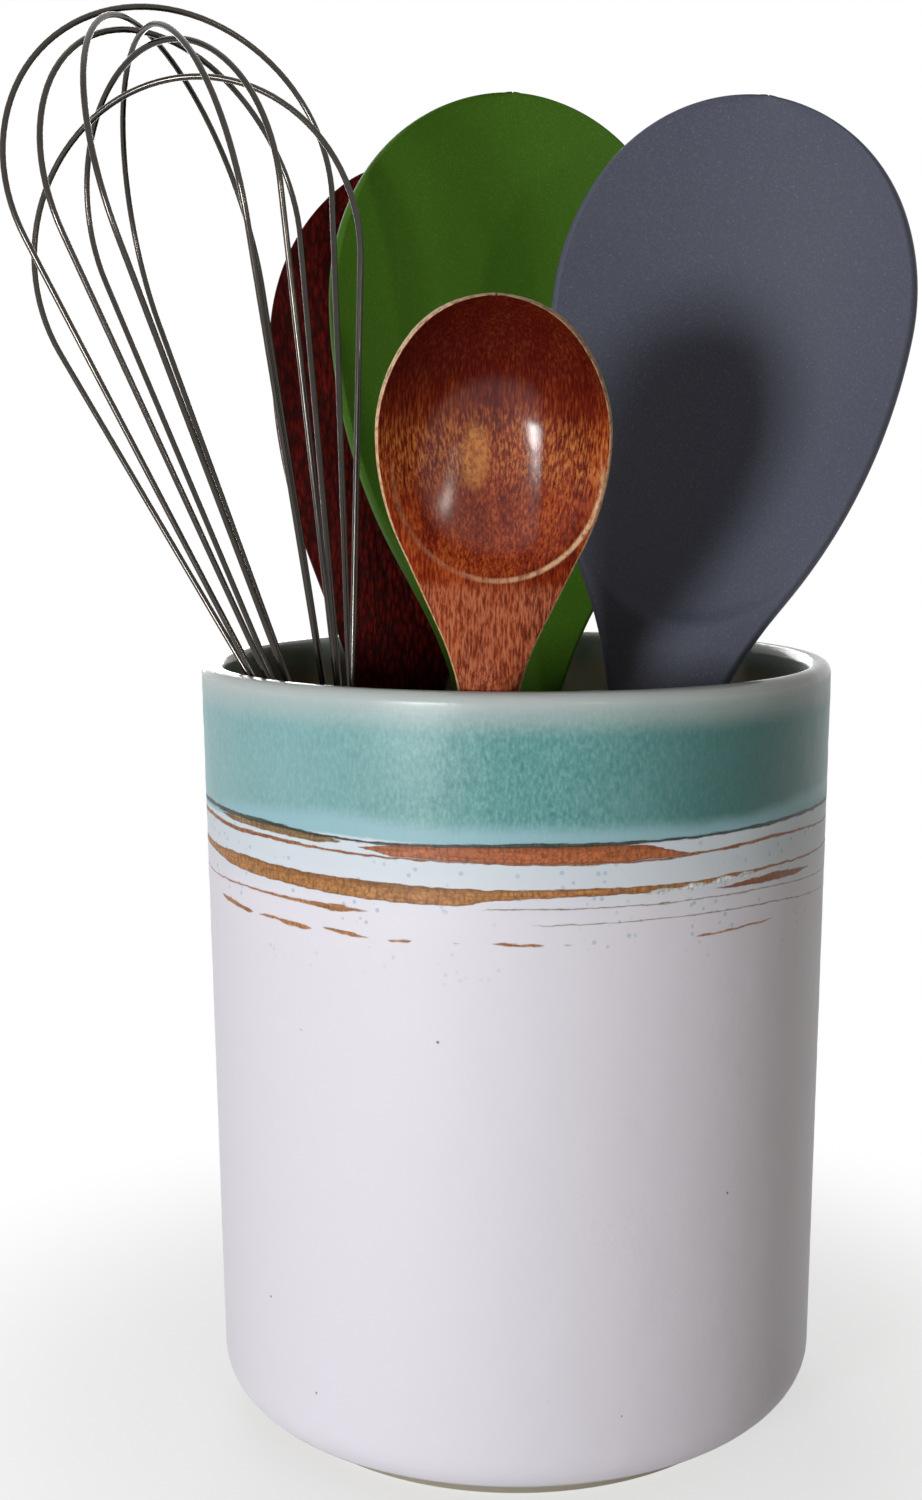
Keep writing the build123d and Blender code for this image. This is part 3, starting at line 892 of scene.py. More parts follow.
CROCK_STROKES = (
    Stroke("stroke_rust", RUST, (
        (-27, 143.9, 0), (-20, 143.8, 1.2), (-9, 143.9, 1.6), (2, 143.7, 1.85),
        (15, 143.5, 1.9), (22, 143.3, 1.5), (30, 142.2, 0), (120, 143.6, 0), (135, 143.8, 1.3),
        (160, 143.6, 1.7), (178, 143.5, 0)
    )),
    Stroke("stroke_olive", OLIVE, (
        (-64, 145.4, 0), (-58, 145.3, 0.35), (-44, 145.2, 0.45), (-34, 144.7, 0.4),
        (-29, 144.6, 0), (70, 145.2, 0), (90, 145.1, 0.4), (115, 145.2, 0)
    ), soft_mm=0.2, weight=2.0, outline_mm=0.2),
    Stroke("stroke_iron", IRON, (
        (-180, 145.7, 0.22), (-120, 145.3, 0.25), (-70, 146.3, 0.3), (-50, 146.2, 0.3),
        (-43, 146.0, 0.25), (-34, 145.4, 0.2), (-24, 145.0, 0.2), (-10, 145.3, 0.22),
        (2, 145.6, 0.28), (15, 145.4, 0.25), (29, 145.5, 0.2), (43, 145.7, 0.25),
        (60, 146.0, 0.28), (90, 145.4, 0.25), (140, 145.8, 0.25)
    ), soft_mm=0.25, weight=1.7),
    Stroke("stroke_thread", BROWN, (
        (-180, 142.6, 0.16), (-100, 143.2, 0.22), (-70, 143.8, 0.32), (-57, 143.1, 0.3),
        (-46, 143.3, 0.25), (-38, 142.9, 0.2), (-25, 142.4, 0.16), (-9, 142.2, 0.14),
        (8, 141.6, 0.14), (22, 141.6, 0.14), (29, 142.0, 0.16), (37, 142.3, 0.2),
        (48, 142.9, 0.2), (58, 142.6, 0.18), (72, 141.6, 0.16), (120, 142.6, 0.16)
    ), soft_mm=0.2, weight=1.7, outline_mm=0.2),
    Stroke("stroke_ochre", OCHRE, (
        (-180, 136.4, 0.5), (-120, 136.6, 1.2), (-90, 136.9, 0.5), (-70, 136.9, 0.8),
        (-62, 136.5, 1.3), (-56, 136.4, 1.7), (-40, 135.9, 1.7), (-24, 135.4, 1.95),
        (-10, 135.1, 1.85), (-3, 135.7, 1.1), (8, 136.0, 0.85), (22, 135.9, 0.75),
        (30, 135.9, 0.65), (37, 136.4, 0.5), (49, 136.7, 0.3), (74, 135.9, 0.22),
        (100, 136.2, 0.9), (140, 135.8, 1.6)
    )),
    Stroke("stroke_milk", MILK, (
        (21, 135.0, 0), (24, 135.2, 0.6), (27.5, 135.4, 0.1), (30, 135.5, 0.7),
        (33.5, 135.7, 0.1), (36, 135.9, 0.75), (39.5, 136.1, 0.1), (41.5, 136.2, 0.6),
        (45, 136.2, 0), (-150, 136.0, 0), (-140, 135.9, 0.6), (-132, 135.9, 0)
    ), soft_mm=0.3, weight=1.2, outline_mm=0.05),
    Stroke("stroke_umber", UMBER, (
        (34, 134.3, 0), (42, 134.4, 0.55), (50, 134.4, 0.85), (57, 133.9, 0.6), (64, 133.6, 0),
        (-110, 134.0, 0), (-95, 134.2, 0.6), (-82, 134.4, 0)
    ), soft_mm=0.2, weight=1.1, outline_mm=0.25),
    Stroke("stroke_fine_upper", TAN, (
        (-8, 132.8, 0), (-2, 132.9, 0.15), (34, 132.7, 0.15), (49, 132.4, 0.15),
        (72, 130.6, 0.14), (150, 132.0, 0.14), (165, 132.0, 0)
    )),
    Stroke("stroke_fine_lower", TAN, (
        (0, 129.7, 0), (5, 129.7, 0.13), (34, 129.6, 0.14), (49, 129.0, 0.16),
        (73, 126.6, 0.12), (110, 128.0, 0)
    )),
    Stroke("stroke_left", OCHRE, (
        (-110, 131.2, 0), (-66, 131.0, 0.15), (-54, 131.4, 0.2), (-46, 131.3, 0.22),
        (-37, 131.2, 0.35), (-31, 131.0, 0.6), (-27, 131.1, 0.25), (-24, 131.1, 0)
    ), soft_mm=0.2, weight=1.3, outline_mm=0.2),
    Stroke("stroke_dashes", OCHRE, (
        (-65, 127.2, 0), (-63, 127.0, 0.4), (-53, 126.3, 0.4), (-51.5, 126.3, 0),
        (-50, 126.2, 0), (-49, 126.3, 0.22), (-45, 126.5, 0.22), (-44.5, 126.4, 0),
        (-43.5, 126.2, 0.45), (-38, 125.9, 0.4), (-36, 125.9, 0), (-34, 126.6, 0),
        (-33, 126.5, 0.25), (-28, 126.0, 0.35), (-24, 125.6, 0), (-21.5, 125.6, 0),
        (-21, 125.6, 0.25), (-17.5, 125.8, 0.25), (-17, 125.8, 0), (-11, 125.9, 0),
        (-10, 125.9, 0.1), (-8, 125.9, 0), (-4, 125.9, 0), (-3, 125.9, 0.3), (3.5, 125.6, 0.2),
        (5, 125.6, 0), (7, 125.6, 0), (8, 125.6, 0.1), (11, 125.6, 0), (30, 125.1, 0),
        (33, 125.1, 0.2), (47, 125.4, 0.2), (51, 125.6, 0), (90, 126.0, 0), (95, 126.0, 0.3),
        (104, 125.8, 0.3), (108, 125.8, 0), (130, 126.0, 0), (134, 126.0, 0.25),
        (150, 125.7, 0.2), (152, 125.7, 0)
    ), soft_mm=0.2, weight=1.25, outline_mm=0.16),
)


def new_mesh_object(name: str, points: np.ndarray, faces: np.ndarray,
                    sizes: np.ndarray) -> bpy.types.Object:
    """Puts arrays of points and faces into a smooth-shaded mesh object.

    Args:
        name: the piece's name.
        points: one row of three numbers for each point.
        faces: the faces' corners, one after another.
        sizes: number of corners of each face.

    Returns:
        The object, linked into the scene at the origin.
    """
    mesh = bpy.data.meshes.new(name)
    mesh.vertices.add(len(points))
    mesh.vertices.foreach_set("co", points.astype(np.float32).ravel())
    mesh.loops.add(len(faces))
    mesh.loops.foreach_set("vertex_index", faces.astype(np.int32))
    starts = np.concatenate([[0], np.cumsum(sizes)[:-1]])
    mesh.polygons.add(len(sizes))
    mesh.polygons.foreach_set("loop_start", starts.astype(np.int32))
    mesh.polygons.foreach_set("use_smooth", np.ones(len(sizes), dtype=bool))
    mesh.update(calc_edges=True)
    mesh.validate()
    piece = bpy.data.objects.new(name, mesh)
    bpy.context.scene.collection.objects.link(piece)
    return piece


def tube_faces(rows: int, columns: int, flipped: bool) -> Tuple[np.ndarray, np.ndarray]:
    """Faces of a grid that closes round its columns, with a fan of triangles at each end.

    The grid's points come row by row, then the middle of the first row and of the last.

    Args:
        rows: rows of the grid.
        columns: points in one row.
        flipped: whether the faces look the other way.

    Returns:
        The faces' corners, one after another, and the number of corners of each face.
    """
    index = np.arange(rows * columns).reshape(rows, columns)
    beside = np.roll(index, -1, axis=1)
    first, last = (np.full(columns, rows * columns + end) for end in (0, 1))
    quads = np.stack([index[:-1], index[1:], beside[1:], beside[:-1]], axis=2)
    start = np.stack([index[0], beside[0], first], axis=1)
    finish = np.stack([beside[-1], index[-1], last], axis=1)
    if flipped:
        quads, start, finish = quads[:, :, [0, 3, 2, 1]], start[:, ::-1], finish[:, ::-1]
    sizes = np.concatenate([np.full((rows - 1) * columns, 4), np.full(2 * columns, 3)])
    return np.concatenate([quads.ravel(), start.ravel(), finish.ravel()]), sizes


def store(piece: bpy.types.Object, name: str, values: np.ndarray) -> None:
    """Stores a vector at each point of a piece's mesh."""
    layer = piece.data.attributes.new(name, "FLOAT_VECTOR", "POINT")
    layer.data.foreach_set("vector", values.astype(np.float32).ravel())


def run_to(start: np.ndarray, end: np.ndarray, spacing: float) -> np.ndarray:
    """Evenly spaced points of a straight run, without its start and with its end."""
    steps = max(1, int(math.ceil(np.linalg.norm(end - start) / spacing)))
    return start + (end - start) * np.linspace(0.0, 1.0, steps + 1)[1:, None]


def rounded_path(corners: Sequence[Triple], spacing: float) -> np.ndarray:
    """A line through corners, each eased by an arc, as a dense row of points.

    The arc of a corner starts a tangent length before it, radius times the tangent of half
    the turn, and is centred that far inside both runs.

    Args:
        corners: rows of across, up and rounding radius.
        spacing: largest step along the straight runs.

    Returns:
        The points, one row of across and up for each.
    """
    knots = [np.array(corner[:2]) for corner in corners]
    radii = [corner[2] for corner in corners[1:]]
    row: List[np.ndarray] = [knots[0]]
    for before, corner, after, radius in zip(knots, knots[1:], knots[2:], radii):
        come, go = corner - before, after - corner
        come, go = come / np.linalg.norm(come), go / np.linalg.norm(go)
        turn = math.atan2(come[0] * go[1] - come[1] * go[0], come @ go)
        begin = corner - come * radius * math.tan(abs(turn) / 2)
        side = np.array([-come[1], come[0]]) * math.copysign(radius, turn)
        swing = np.linspace(0.0, turn, max(3, int(abs(turn) * ARC_DENSITY)))[:, None]
        ahead = np.array([side[1], -side[0]])
        row.extend(run_to(row[-1], begin, spacing)[:-1])
        row.extend(begin + side - side * np.cos(swing) + ahead * np.sin(swing))
    row.extend(run_to(row[-1], knots[-1], spacing))
    return np.array(row)


@dataclass(frozen=True)
class Throwing:
    """What a potter's hands leave in the wall. Heights and depths in mm, phases in radians."""

    start: float = 20.0
    outside: float = 60.0
    ring_depth: float = 0.035
    ring_pace: float = 0.9
    ring_drift: float = 1.5
    spiral_depth: float = 0.03
    spiral_pace: float = 0.37
    spiral_turns: float = 2.0
    oval_depth: float = 0.12
    oval_phase: float = 0.7
    rim_start: float = 160.0
    rim_depth: float = 0.12
    rim_waves: float = 3.0
    rim_phase: float = 0.4


@dataclass
class Crock:
    """The thrown and glazed stoneware crock. Sizes are in millimetres."""

    radius: float = 70.0
    height: float = 175.0
    wall: float = 5.0
    floor: float = 9.0
    foot_radius: float = 58.4
    foot_height: float = 4.0
    foot_taper: float = 0.6
    foot_round: float = 0.7
    groove_round: float = 0.45
    lower_round: float = 10.5
    inner_round: float = 9.0
    rim_round: float = 2.4
    columns: int = 400
    spacing: float = 2.6
    throwing: Throwing = Throwing()

    def profile(self) -> np.ndarray:
        """Outline of the wall from the middle of the foot out, up, over the rim and in."""
        inner = self.radius - self.wall
        corners = (
            (0.0, 0.0, 0.0),
            (self.foot_radius - self.foot_taper, 0.0, self.foot_round),
            (self.foot_radius, self.foot_height, self.groove_round),
            (self.radius, self.foot_height, self.lower_round),
            (self.radius, self.height, self.rim_round),
            (inner, self.height, self.rim_round),
            (inner, self.floor, self.inner_round),
            (0.0, self.floor, 0.0),
        )
        return rounded_path(corners, self.spacing)

    def surface(self) -> Tuple[np.ndarray, np.ndarray, int]:
        """The wall as a grid: the profile carried round the axis.

        Each ring is slightly oval, and the outside keeps the shallow rings of throwing:
        sines of the height, a few hundredths of a millimetre deep, that drift with angle.
        The rim rises and falls by a cosine of the angle.

        Returns:
            Points in metres, each point's angle in degrees, and the number of rows.
        """
        path, hands = self.profile(), self.throwing
        across, up = path[1:-1, :1], path[1:-1, 1:]
        angle = np.linspace(-math.pi, math.pi, self.columns, endpoint=False)
        share = np.clip((up - hands.start) / (self.height - hands.start), 0.0, 1.0)
        ring = hands.ring_depth * np.sin(up * hands.ring_pace + hands.ring_drift * np.sin(angle))
        ring += hands.spiral_depth * np.sin(up * hands.spiral_pace + hands.spiral_turns * angle)
        oval = hands.oval_depth * np.cos(2.0 * angle + hands.oval_phase)
        reach = across + share * (ring * (across > hands.outside) + oval)
        top = np.clip((up - hands.rim_start) / (self.height - hands.rim_start), 0.0, 1.0)
        rise = hands.rim_depth * np.cos(hands.rim_waves * angle + hands.rim_phase)
        grid = np.stack([reach * np.sin(angle), -reach * np.cos(angle), up + top * rise], axis=2)
        middles = [[0.0, 0.0, path[0, 1]], [0.0, 0.0, path[-1, 1]]]
        points = np.concatenate([grid.reshape(-1, 3), middles]) * MM
        degrees = np.degrees(np.concatenate([np.tile(angle, len(up)), [0.0, 0.0]]))
        return points, degrees, len(up)

    def build(self) -> bpy.types.Object:
        """Makes the crock, stores its brushed strokes on the mesh, and dresses it.

        Returns:
            The crock's object.
        """
        points, degrees, rows = self.surface()
        faces, sizes = tube_faces(rows, self.columns, flipped=True)
        crock = new_mesh_object("crock_glazed", points, faces, sizes)
        for stroke in CROCK_STROKES:
            store(crock, stroke.name, stroke.along(degrees))
        crock.data.materials.append(CrockGlaze(CROCK_STROKES).build())
        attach(crock, "crock")
        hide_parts("crock_body")
        LOG.info("built %s", crock.name)
        return crock


def eased(share: np.ndarray) -> np.ndarray:
    """A share from 0 to 1 that starts and ends gently: three squares less two cubes."""
    return share * share * (3 - 2 * share)


def smooth_table(where: np.ndarray, table: Table) -> np.ndarray:
    """Reads a table of places and values with no kink at its rows.

    Between two rows the value is a cubic whose slope at each row is the mean of the slopes
    on its two sides.

    Args:
        where: places to read, held within the table's ends.
        table: pairs of place and value, in order.

    Returns:
        The value at each place.
    """
    x, y = np.array(table, dtype=float).T
    slope = np.gradient(y, x)
    slope[0] = slope[-1] = 0.0
    where = np.clip(where, x[0], x[-1])
    left = np.clip(np.searchsorted(x, where, side="right") - 1, 0, len(x) - 2)
    run = x[left + 1] - x[left]
    t = (where - x[left]) / run
    return ((1 + 2 * t) * (1 - t) ** 2 * y[left] + t * (1 - t) ** 2 * run * slope[left]
            + t * t * (3 - 2 * t) * y[left + 1] + t * t * (t - 1) * run * slope[left + 1])


SPREAD = ((0.0, 0.0), (0.07, 0.03), (0.20, 0.34), (0.36, 0.66), (0.52, 0.96), (0.68, 1.06),
          (0.84, 1.08), (1.04, 1.08))
STEM = ((0.0, 1.0), (0.07, 1.0), (0.20, 0.82), (0.36, 0.46), (0.52, 0.20), (0.68, 0.05),
        (0.84, 0.0), (1.04, 0.0))
BOWL = ((0.0, 0.0), (0.07, 0.0), (0.20, 0.10), (0.36, 0.42), (0.52, 0.76), (0.68, 0.96),
        (0.84, 0.80), (0.95, 0.34), (1.04, -0.12))
CROWN = ((0.0, 1.0), (0.07, 1.0), (0.20, 0.80), (0.36, 0.45), (0.52, 0.18), (0.68, 0.12),
         (1.04, 0.12))
SCOOP = ((0.0, 0.0), (0.10, 0.20), (0.20, 0.39), (0.30, 0.58), (0.40, 0.755), (0.48, 0.885),
         (0.55, 0.965), (0.62, 1.0), (0.70, 0.985), (0.78, 0.90), (0.86, 0.72), (0.93, 0.45),
         (1.0, 0.10), (1.05, 0.0))
DISH_TOP = ((0.58, 1.0), (0.76, 0.82), (0.90, 0.46), (1.0, 0.13), (1.06, 0.0))
PRESSED = ((0.0, 0.0), (0.025, 0.30), (0.07, 0.50), (0.18, 0.74), (0.38, 0.97)) + DISH_TOP
DISH = ((0.0, 0.0), (0.035, 0.17), (0.10, 0.40), (0.20, 0.70), (0.40, 0.97)) + DISH_TOP


@dataclass
class Spoon:
    """One spoon as a closed skin round its solid, with soft edges. Sizes are in millimetres.

    The crown and the side are arcs: a radius, and the degrees that it sweeps. A name with
    "by" in it is a factor on what it names, such as the handle's radius.
    """

    name: str
    node: str
    body: str
    slot: str
    tip: Triple
    axis: Triple
    turn: float
    length: float
    half_width: float
    crown: Tuple[float, float]
    side: Tuple[float, float]
    neck: float
    handle: float
    face: float
    edge: float
    depth: float
    wall: float
    rim: float
    bowl: float
    end: float
    dish: Table = DISH
    lip: float = 0.6
    round_edge: float = 0.8
    neck_by_handle: float = 1.08
    flat_by_handle: float = 0.45
    tip_by_handle: float = 0.65
    end_limit: float = 0.45
    end_by_bowl: float = 0.6
    blend_by_spread: float = 0.34
    least_bowl: float = 0.2
    # Width in mm of the rim band that carries the painted highlight.
    rim_highlight_width: float = 0.5
    crowding: float = 1.4
    arc_points: int = 60
    flank_points: int = 40
    handle_rows: int = 40
    head_rows: int = 210
    front_columns: int = 84
    edge_columns: int = 9
    back_columns: int = 44

    def outline(self) -> Tuple[np.ndarray, np.ndarray, float]:
        """Half width against height, from tangent arcs: crown, shoulder, side, flank, neck.

        Returns:
            Heights from the tip up, half widths there, and the neck's height.
        """
        radius, sweep = self.crown[0], math.radians(self.crown[1])
        side, flare = self.side[0], math.radians(self.side[1])
        outward = np.array([math.sin(sweep), math.cos(sweep)])
        down = np.array([math.sin(flare), math.cos(flare)])
        handle = self.handle * self.neck_by_handle
        shoulder = (self.half_width - radius * outward[0]) / (1 - outward[0])
        bend = np.linspace(0.0, sweep, self.arc_points)
        across, up = [radius * np.sin(bend)], [self.length - radius * (1 - np.cos(bend))]
        middle = np.array([across[0][-1], up[0][-1]]) - shoulder * outward
        bend = np.linspace(sweep, math.pi / 2, self.arc_points)[1:]
        across.append(middle[0] + shoulder * np.sin(bend))
        up.append(middle[1] + shoulder * np.cos(bend))
        bend = np.linspace(0.0, flare, self.flank_points)[1:]
        across.append(self.half_width - side * (1 - np.cos(bend)))
        up.append(middle[1] - side * np.sin(bend))
        inset = 1 - down[1]
        run = (self.half_width - side * inset - handle - self.neck * inset) / down[0]
        corner = np.array([across[-1][-1], up[-1][-1]]) - run * down
        centre = corner + self.neck * np.array([down[1], -down[0]])
        bend = np.linspace(flare, 0.0, self.flank_points)
        across.extend([centre[0] - self.neck * np.cos(bend), [handle]])
        up.extend([centre[1] + self.neck * np.sin(bend), [0.0]])
        return np.concatenate(up)[::-1], np.concatenate(across)[::-1], float(centre[1])

    def skin(self) -> Tuple[np.ndarray, np.ndarray]:
        """The skin as a grid of closed sections, one above the other.

        A section runs over the front, round one edge, over the back and round the other edge.
        In the handle it is a circle. In the head the front is a plane less the bowl, whose
        depth is a table of the height times one less the square of the share of the half
        width, and the back is a parabola across. The two are blended by the head's spread.

        Returns:
            Local points (across, along, towards the front), and for each point its share of
            rim and whether it is on the front, as two grids.
        """
        heights, widths, neck = self.outline()
        head = self.length - neck
        low = np.linspace(0.0, 1.0, self.handle_rows, endpoint=False) ** self.crowding * neck
        high = neck + head * np.sin(np.linspace(0.0, 0.5 * math.pi, self.head_rows))
        up = np.concatenate([low, high[:-1]])[:, None]
        tables = (SPREAD, STEM, BOWL, CROWN)
        spread, stem, bulge, crown = (smooth_table((up - neck) / head, table) for table in tables)
        wide = self.handle + (self.half_width - self.handle) * spread
        reach = np.minimum(np.interp(up, heights, widths), wide)
        reach = np.minimum(reach, self.handle * self.tip_by_handle + up)
        flat = self.handle * self.flat_by_handle
        face = flat + (self.face - flat) * spread
        thick = 2 * flat + (self.edge - 2 * flat) * spread
        rim_back = self.edge - self.face
        back = (rim_back + (self.handle - rim_back) * stem
                + (self.depth + self.wall - self.face - rim_back) * bulge)
        arch = (self.handle - flat) * crown
        soft = np.minimum(self.round_edge, reach * 0.5)
        inner = reach - soft

        def front_at(u: np.ndarray) -> np.ndarray:
            """Height of the front above the tool's middle plane, bowl included."""
            limit = (self.end_limit * self.end) ** 2
            shift = self.end - np.sqrt(np.maximum(self.end ** 2 - u ** 2, limit))
            above = up - (self.length - self.rim - self.bowl)
            fade = 1.0 - np.clip(above / (self.end_by_bowl * self.bowl), 0.0, 1.0)
            along = (above - shift * eased(fade)) / self.bowl
            along = 0.5 * (along + np.sqrt(along ** 2 + (self.lip / self.bowl) ** 2))
            hollow = 1.0 - (u / np.maximum(reach - self.rim, self.least_bowl)) ** 2
            hollow = self.depth * smooth_table(along, self.dish) * np.maximum(hollow, 0.0)
            return face + arch * (1.0 - (u / wide) ** 2) - hollow

        def back_at(u: np.ndarray) -> np.ndarray:
            """Height of the back, which is below the middle plane where the bowl hangs."""
            return (face - thick) - (back + face - thick) * (1.0 - (u / wide) ** 2)

        def circle_at(u: np.ndarray) -> np.ndarray:
            """Height of the handle's circle above the middle plane."""
            return np.sqrt(np.maximum(reach ** 2 - u ** 2, 0.0))

        blend = eased(np.clip(spread / self.blend_by_spread, 0.0, 1.0))
        right = inner * np.cos(np.linspace(0.0, math.pi, self.front_columns))
        left = inner * np.cos(np.linspace(math.pi, 2.0 * math.pi, self.back_columns))
        arc = np.linspace(0.5 * math.pi, -0.5 * math.pi, self.edge_columns + 2)[1:-1]
        top, bottom = front_at(inner), back_at(inner)
        turned = arc * (np.arccos(np.clip(inner / reach, -1.0, 1.0)) / (math.pi / 2))
        edge_w = (top + bottom) / 2 + (top - bottom) / 2 * np.sin(arc)
        edge_u, edge_w, front_w, back_w = (
            in_head * blend + in_handle * (1 - blend) for in_head, in_handle in (
                (inner + soft * np.cos(arc), reach * np.cos(turned)),
                (edge_w, reach * np.sin(turned)),
                (front_at(right), circle_at(right)),
                (back_at(left), -circle_at(left))))
        across = np.concatenate([right, -edge_u, left, edge_u[:, ::-1]], axis=1)
        out = np.concatenate([front_w, edge_w, back_w, edge_w[:, ::-1]], axis=1)
        local = np.stack([across, np.broadcast_to(up, across.shape), out], axis=2)
        # Share of rim, which places the painted highlight along the edges.
        near = np.exp(-((reach - np.abs(across)) / self.rim_highlight_width) ** 2)
        near[:, self.front_columns:] = 1.0
        near[:, self.front_columns + self.edge_columns:-self.edge_columns] = 0.0
        front = np.zeros_like(near)
        front[:, :self.front_columns] = 1.0
        return local, np.stack([near, front], axis=2)

    def placed(self, local: np.ndarray) -> np.ndarray:
        """Brings points from the spoon's own axes into the frame.

        Args:
            local: rows of across, along and towards the front.

        Returns:
            The points in the frame, in millimetres.
        """
        upward = np.array(self.axis)
        across = np.cross((0.0, 1.0, 0.0), upward)
        across /= np.linalg.norm(across)
        behind = np.cross(upward, across)
        swing = math.radians(self.turn)
        right = across * math.cos(swing) + behind * math.sin(swing)
        front = across * math.sin(swing) - behind * math.cos(swing)
        return np.array(self.tip) + local @ np.stack([right, upward, front])

    def build(self, material: bpy.types.Material) -> bpy.types.Object:
        """Makes the spoon, places it on its axis and dresses it.

        Args:
            material: the finish.

        Returns:
            The spoon's object.
        """
        local, marks = self.skin()
        crest = local[-1].mean(axis=0)
        crest[1] = self.length
        flat = np.concatenate([local.reshape(-1, 3), [local[0].mean(axis=0), crest]])
        faces, sizes = tube_faces(*local.shape[:2], flipped=False)
        spoon = new_mesh_object(self.name, self.placed(flat) * MM, faces, sizes)
        # Share of rim and front flag, which carry the painted rim highlight.
        edge_highlight = np.zeros_like(flat)
        edge_highlight[:-2, :2] = marks.reshape(-1, 2)
        store(spoon, Layer.PLACE.value, flat * (1.0, 1.0, 0.0))
        store(spoon, Layer.RIM_HIGHLIGHT.value, edge_highlight)
        spoon.data.materials.append(material)
        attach(spoon, self.body)
        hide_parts(self.node)
        LOG.info("built %s", self.name)
        return spoon


# Crown radius of a silicone spoon, as a share of half of its width.
CROWN_BY_WIDTH = 0.962


def moulded_spoon(colour: str, tip: Triple, axis: Triple, turn: float, length: float,
                  half_width: float) -> Spoon:
    """One of the two silicone spoons, which differ in size, place and colour alone.

    Args:
        colour: the word that its names start with.
        tip: the tip's place in mm.
        axis: direction from the tip to the head.
        turn: turn about the axis in degrees.
        length: whole length in mm.
        half_width: half of the head's width in mm.

    Returns:
        The spoon.
    """
    return Spoon(
        f"{colour}_spoon_moulded", f"{colour}_spoon_silicone", f"{colour}_spoon",
        f"{colour}_silicone", tip, axis, turn, length, half_width,
        crown=(half_width * CROWN_BY_WIDTH, 60.0), side=(115.0, 29.0), neck=95.0, handle=8.0,
        face=5.5, edge=4.0, depth=8.5, wall=4.0, rim=1.0, bowl=105.4, end=28.0, dish=PRESSED,
        lip=0.35, round_edge=1.5)


@dataclass
class Tools:
    """The five tools: the spoons get skins of their own, the whisk and bars stay solids."""

    small_axis: Triple = (0.025011, -0.257906, 0.965846)
    dark_axis: Triple = (0.004355, 0.084325, 0.996429)
    wires: int = 6

    def dress(self, node: str, material: bpy.types.Material) -> None:
        """Gives a solid its finish.

        Args:
            node: the solid's name.
            material: the finish.
        """
        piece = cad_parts[node]
        if not piece.material_slots:
            piece.data.materials.append(material)
        for material_slot in piece.material_slots:
            material_slot.link = "OBJECT"
            material_slot.material = material
        LOG.info("dressed %s", node)

    def dress_solids(self) -> None:
        """Makes the finishes of the whisk and of the sealed bars, and gives them out."""
        core = HiddenPlastic("core_nylon", srgb(50, 50, 52)).build()
        plug = HiddenPlastic("plug_resin", srgb(96, 96, 98)).build()
        wire = DrawnSteel("whisk_wire_steel", srgb(72, 68, 64), gloss=0.11).build()
        tube = DrawnSteel("whisk_tube_steel", srgb(140, 137, 132), gloss=0.26).build()
        finishes: Dict[str, bpy.types.Material] = {
            "green_spoon_core": core, "grey_spoon_core": core, "whisk_plug": plug,
            "whisk_handle": tube, "whisk_end_cap": tube, "whisk_hanging_ring": wire,
        }
        finishes.update({f"whisk_wire_{number + 1}": wire for number in range(self.wires)})
        for node, material in finishes.items():
            self.dress(node, material)

    def build(self) -> None:
        """Makes every finish and every spoon, and dresses the solids that stay."""
        red_wood = TurnedWood(
            "red_wood", srgb(172, 82, 34), srgb(126, 40, 12), srgb(70, 12, 2), self.small_axis,
            gloss=0.36, coat=0.55, shine=0.05, figure=BowlFigure())
        dark_wood = TurnedWood(
            "dark_wood", srgb(96, 20, 10), srgb(70, 8, 5), srgb(38, 5, 4), self.dark_axis,
            gloss=0.5, coat=0.0, shine=0.03, pebbled=0.7)
        green = MouldedSilicone("green_silicone", srgb(60, 98, 20), srgb(84, 124, 46))
        grey = MouldedSilicone("grey_silicone", srgb(80, 83, 97), srgb(108, 112, 124))
        self.dress_solids()
        small_spoon = Spoon(
            "small_spoon_carved", "small_wooden_spoon", "small_wooden_spoon", "red_wood",
            (-9.62, -15.47, 10.596), self.small_axis, turn=0.0, length=245.0, half_width=21.7,
            crown=(19.5, 50.6), side=(49.4, 24.0), neck=52.0, handle=5.0, face=3.2, edge=1.8,
            depth=10.0, wall=1.4, rim=0.5, bowl=51.4, end=20.0, dish=SCOOP, lip=0.45)
        dark_spoon = Spoon(
            "dark_spoon_carved", "dark_wooden_spoon", "dark_wooden_spoon", "dark_wood",
            (-29.185, 26.975, 9.849), self.dark_axis, turn=180.0, length=277.1, half_width=31.2,
            crown=(21.3, 36.8), side=(147.0, 20.8), neck=130.0, handle=6.5, face=4.0, edge=2.4,
            depth=9.0, wall=3.4, rim=1.6, bowl=84.0, end=27.0)
        green_spoon = moulded_spoon("green", (-2.275, 2.015, 9.972),
                                    (0.001584, 0.083933, 0.996470), 10.0, 287.3, 40.8)
        grey_spoon = moulded_spoon("grey", (6.305, -14.625, 10.585),
                                   (0.160391, -0.008235, 0.987019), -12.0, 281.9, 37.5)
        for spoon, finish in ((small_spoon, red_wood), (dark_spoon, dark_wood),
                              (green_spoon, green), (grey_spoon, grey)):
            spoon.build(finish.build())


@dataclass(frozen=True)
class Softbox:
    """A square lamp: its place, the height it faces on the crock's axis, width and watts."""

    name: str
    place: Triple
    aim: float
    size: float
    power: float
    colour: Colour = WHITE

    def build(self) -> None:
        """Adds the lamp."""
        data = bpy.data.lights.new(self.name, "AREA")
        data.shape = "SQUARE"
        data.size = self.size
        data.energy = self.power
        data.color = self.colour
        lamp = bpy.data.objects.new(self.name, data)
        lamp.location = self.place
        facing = Vector((0.0, 0.0, self.aim)) - Vector(self.place)
        lamp.rotation_euler = facing.to_track_quat("-Z", "Y").to_euler()
        bpy.context.scene.collection.objects.link(lamp)


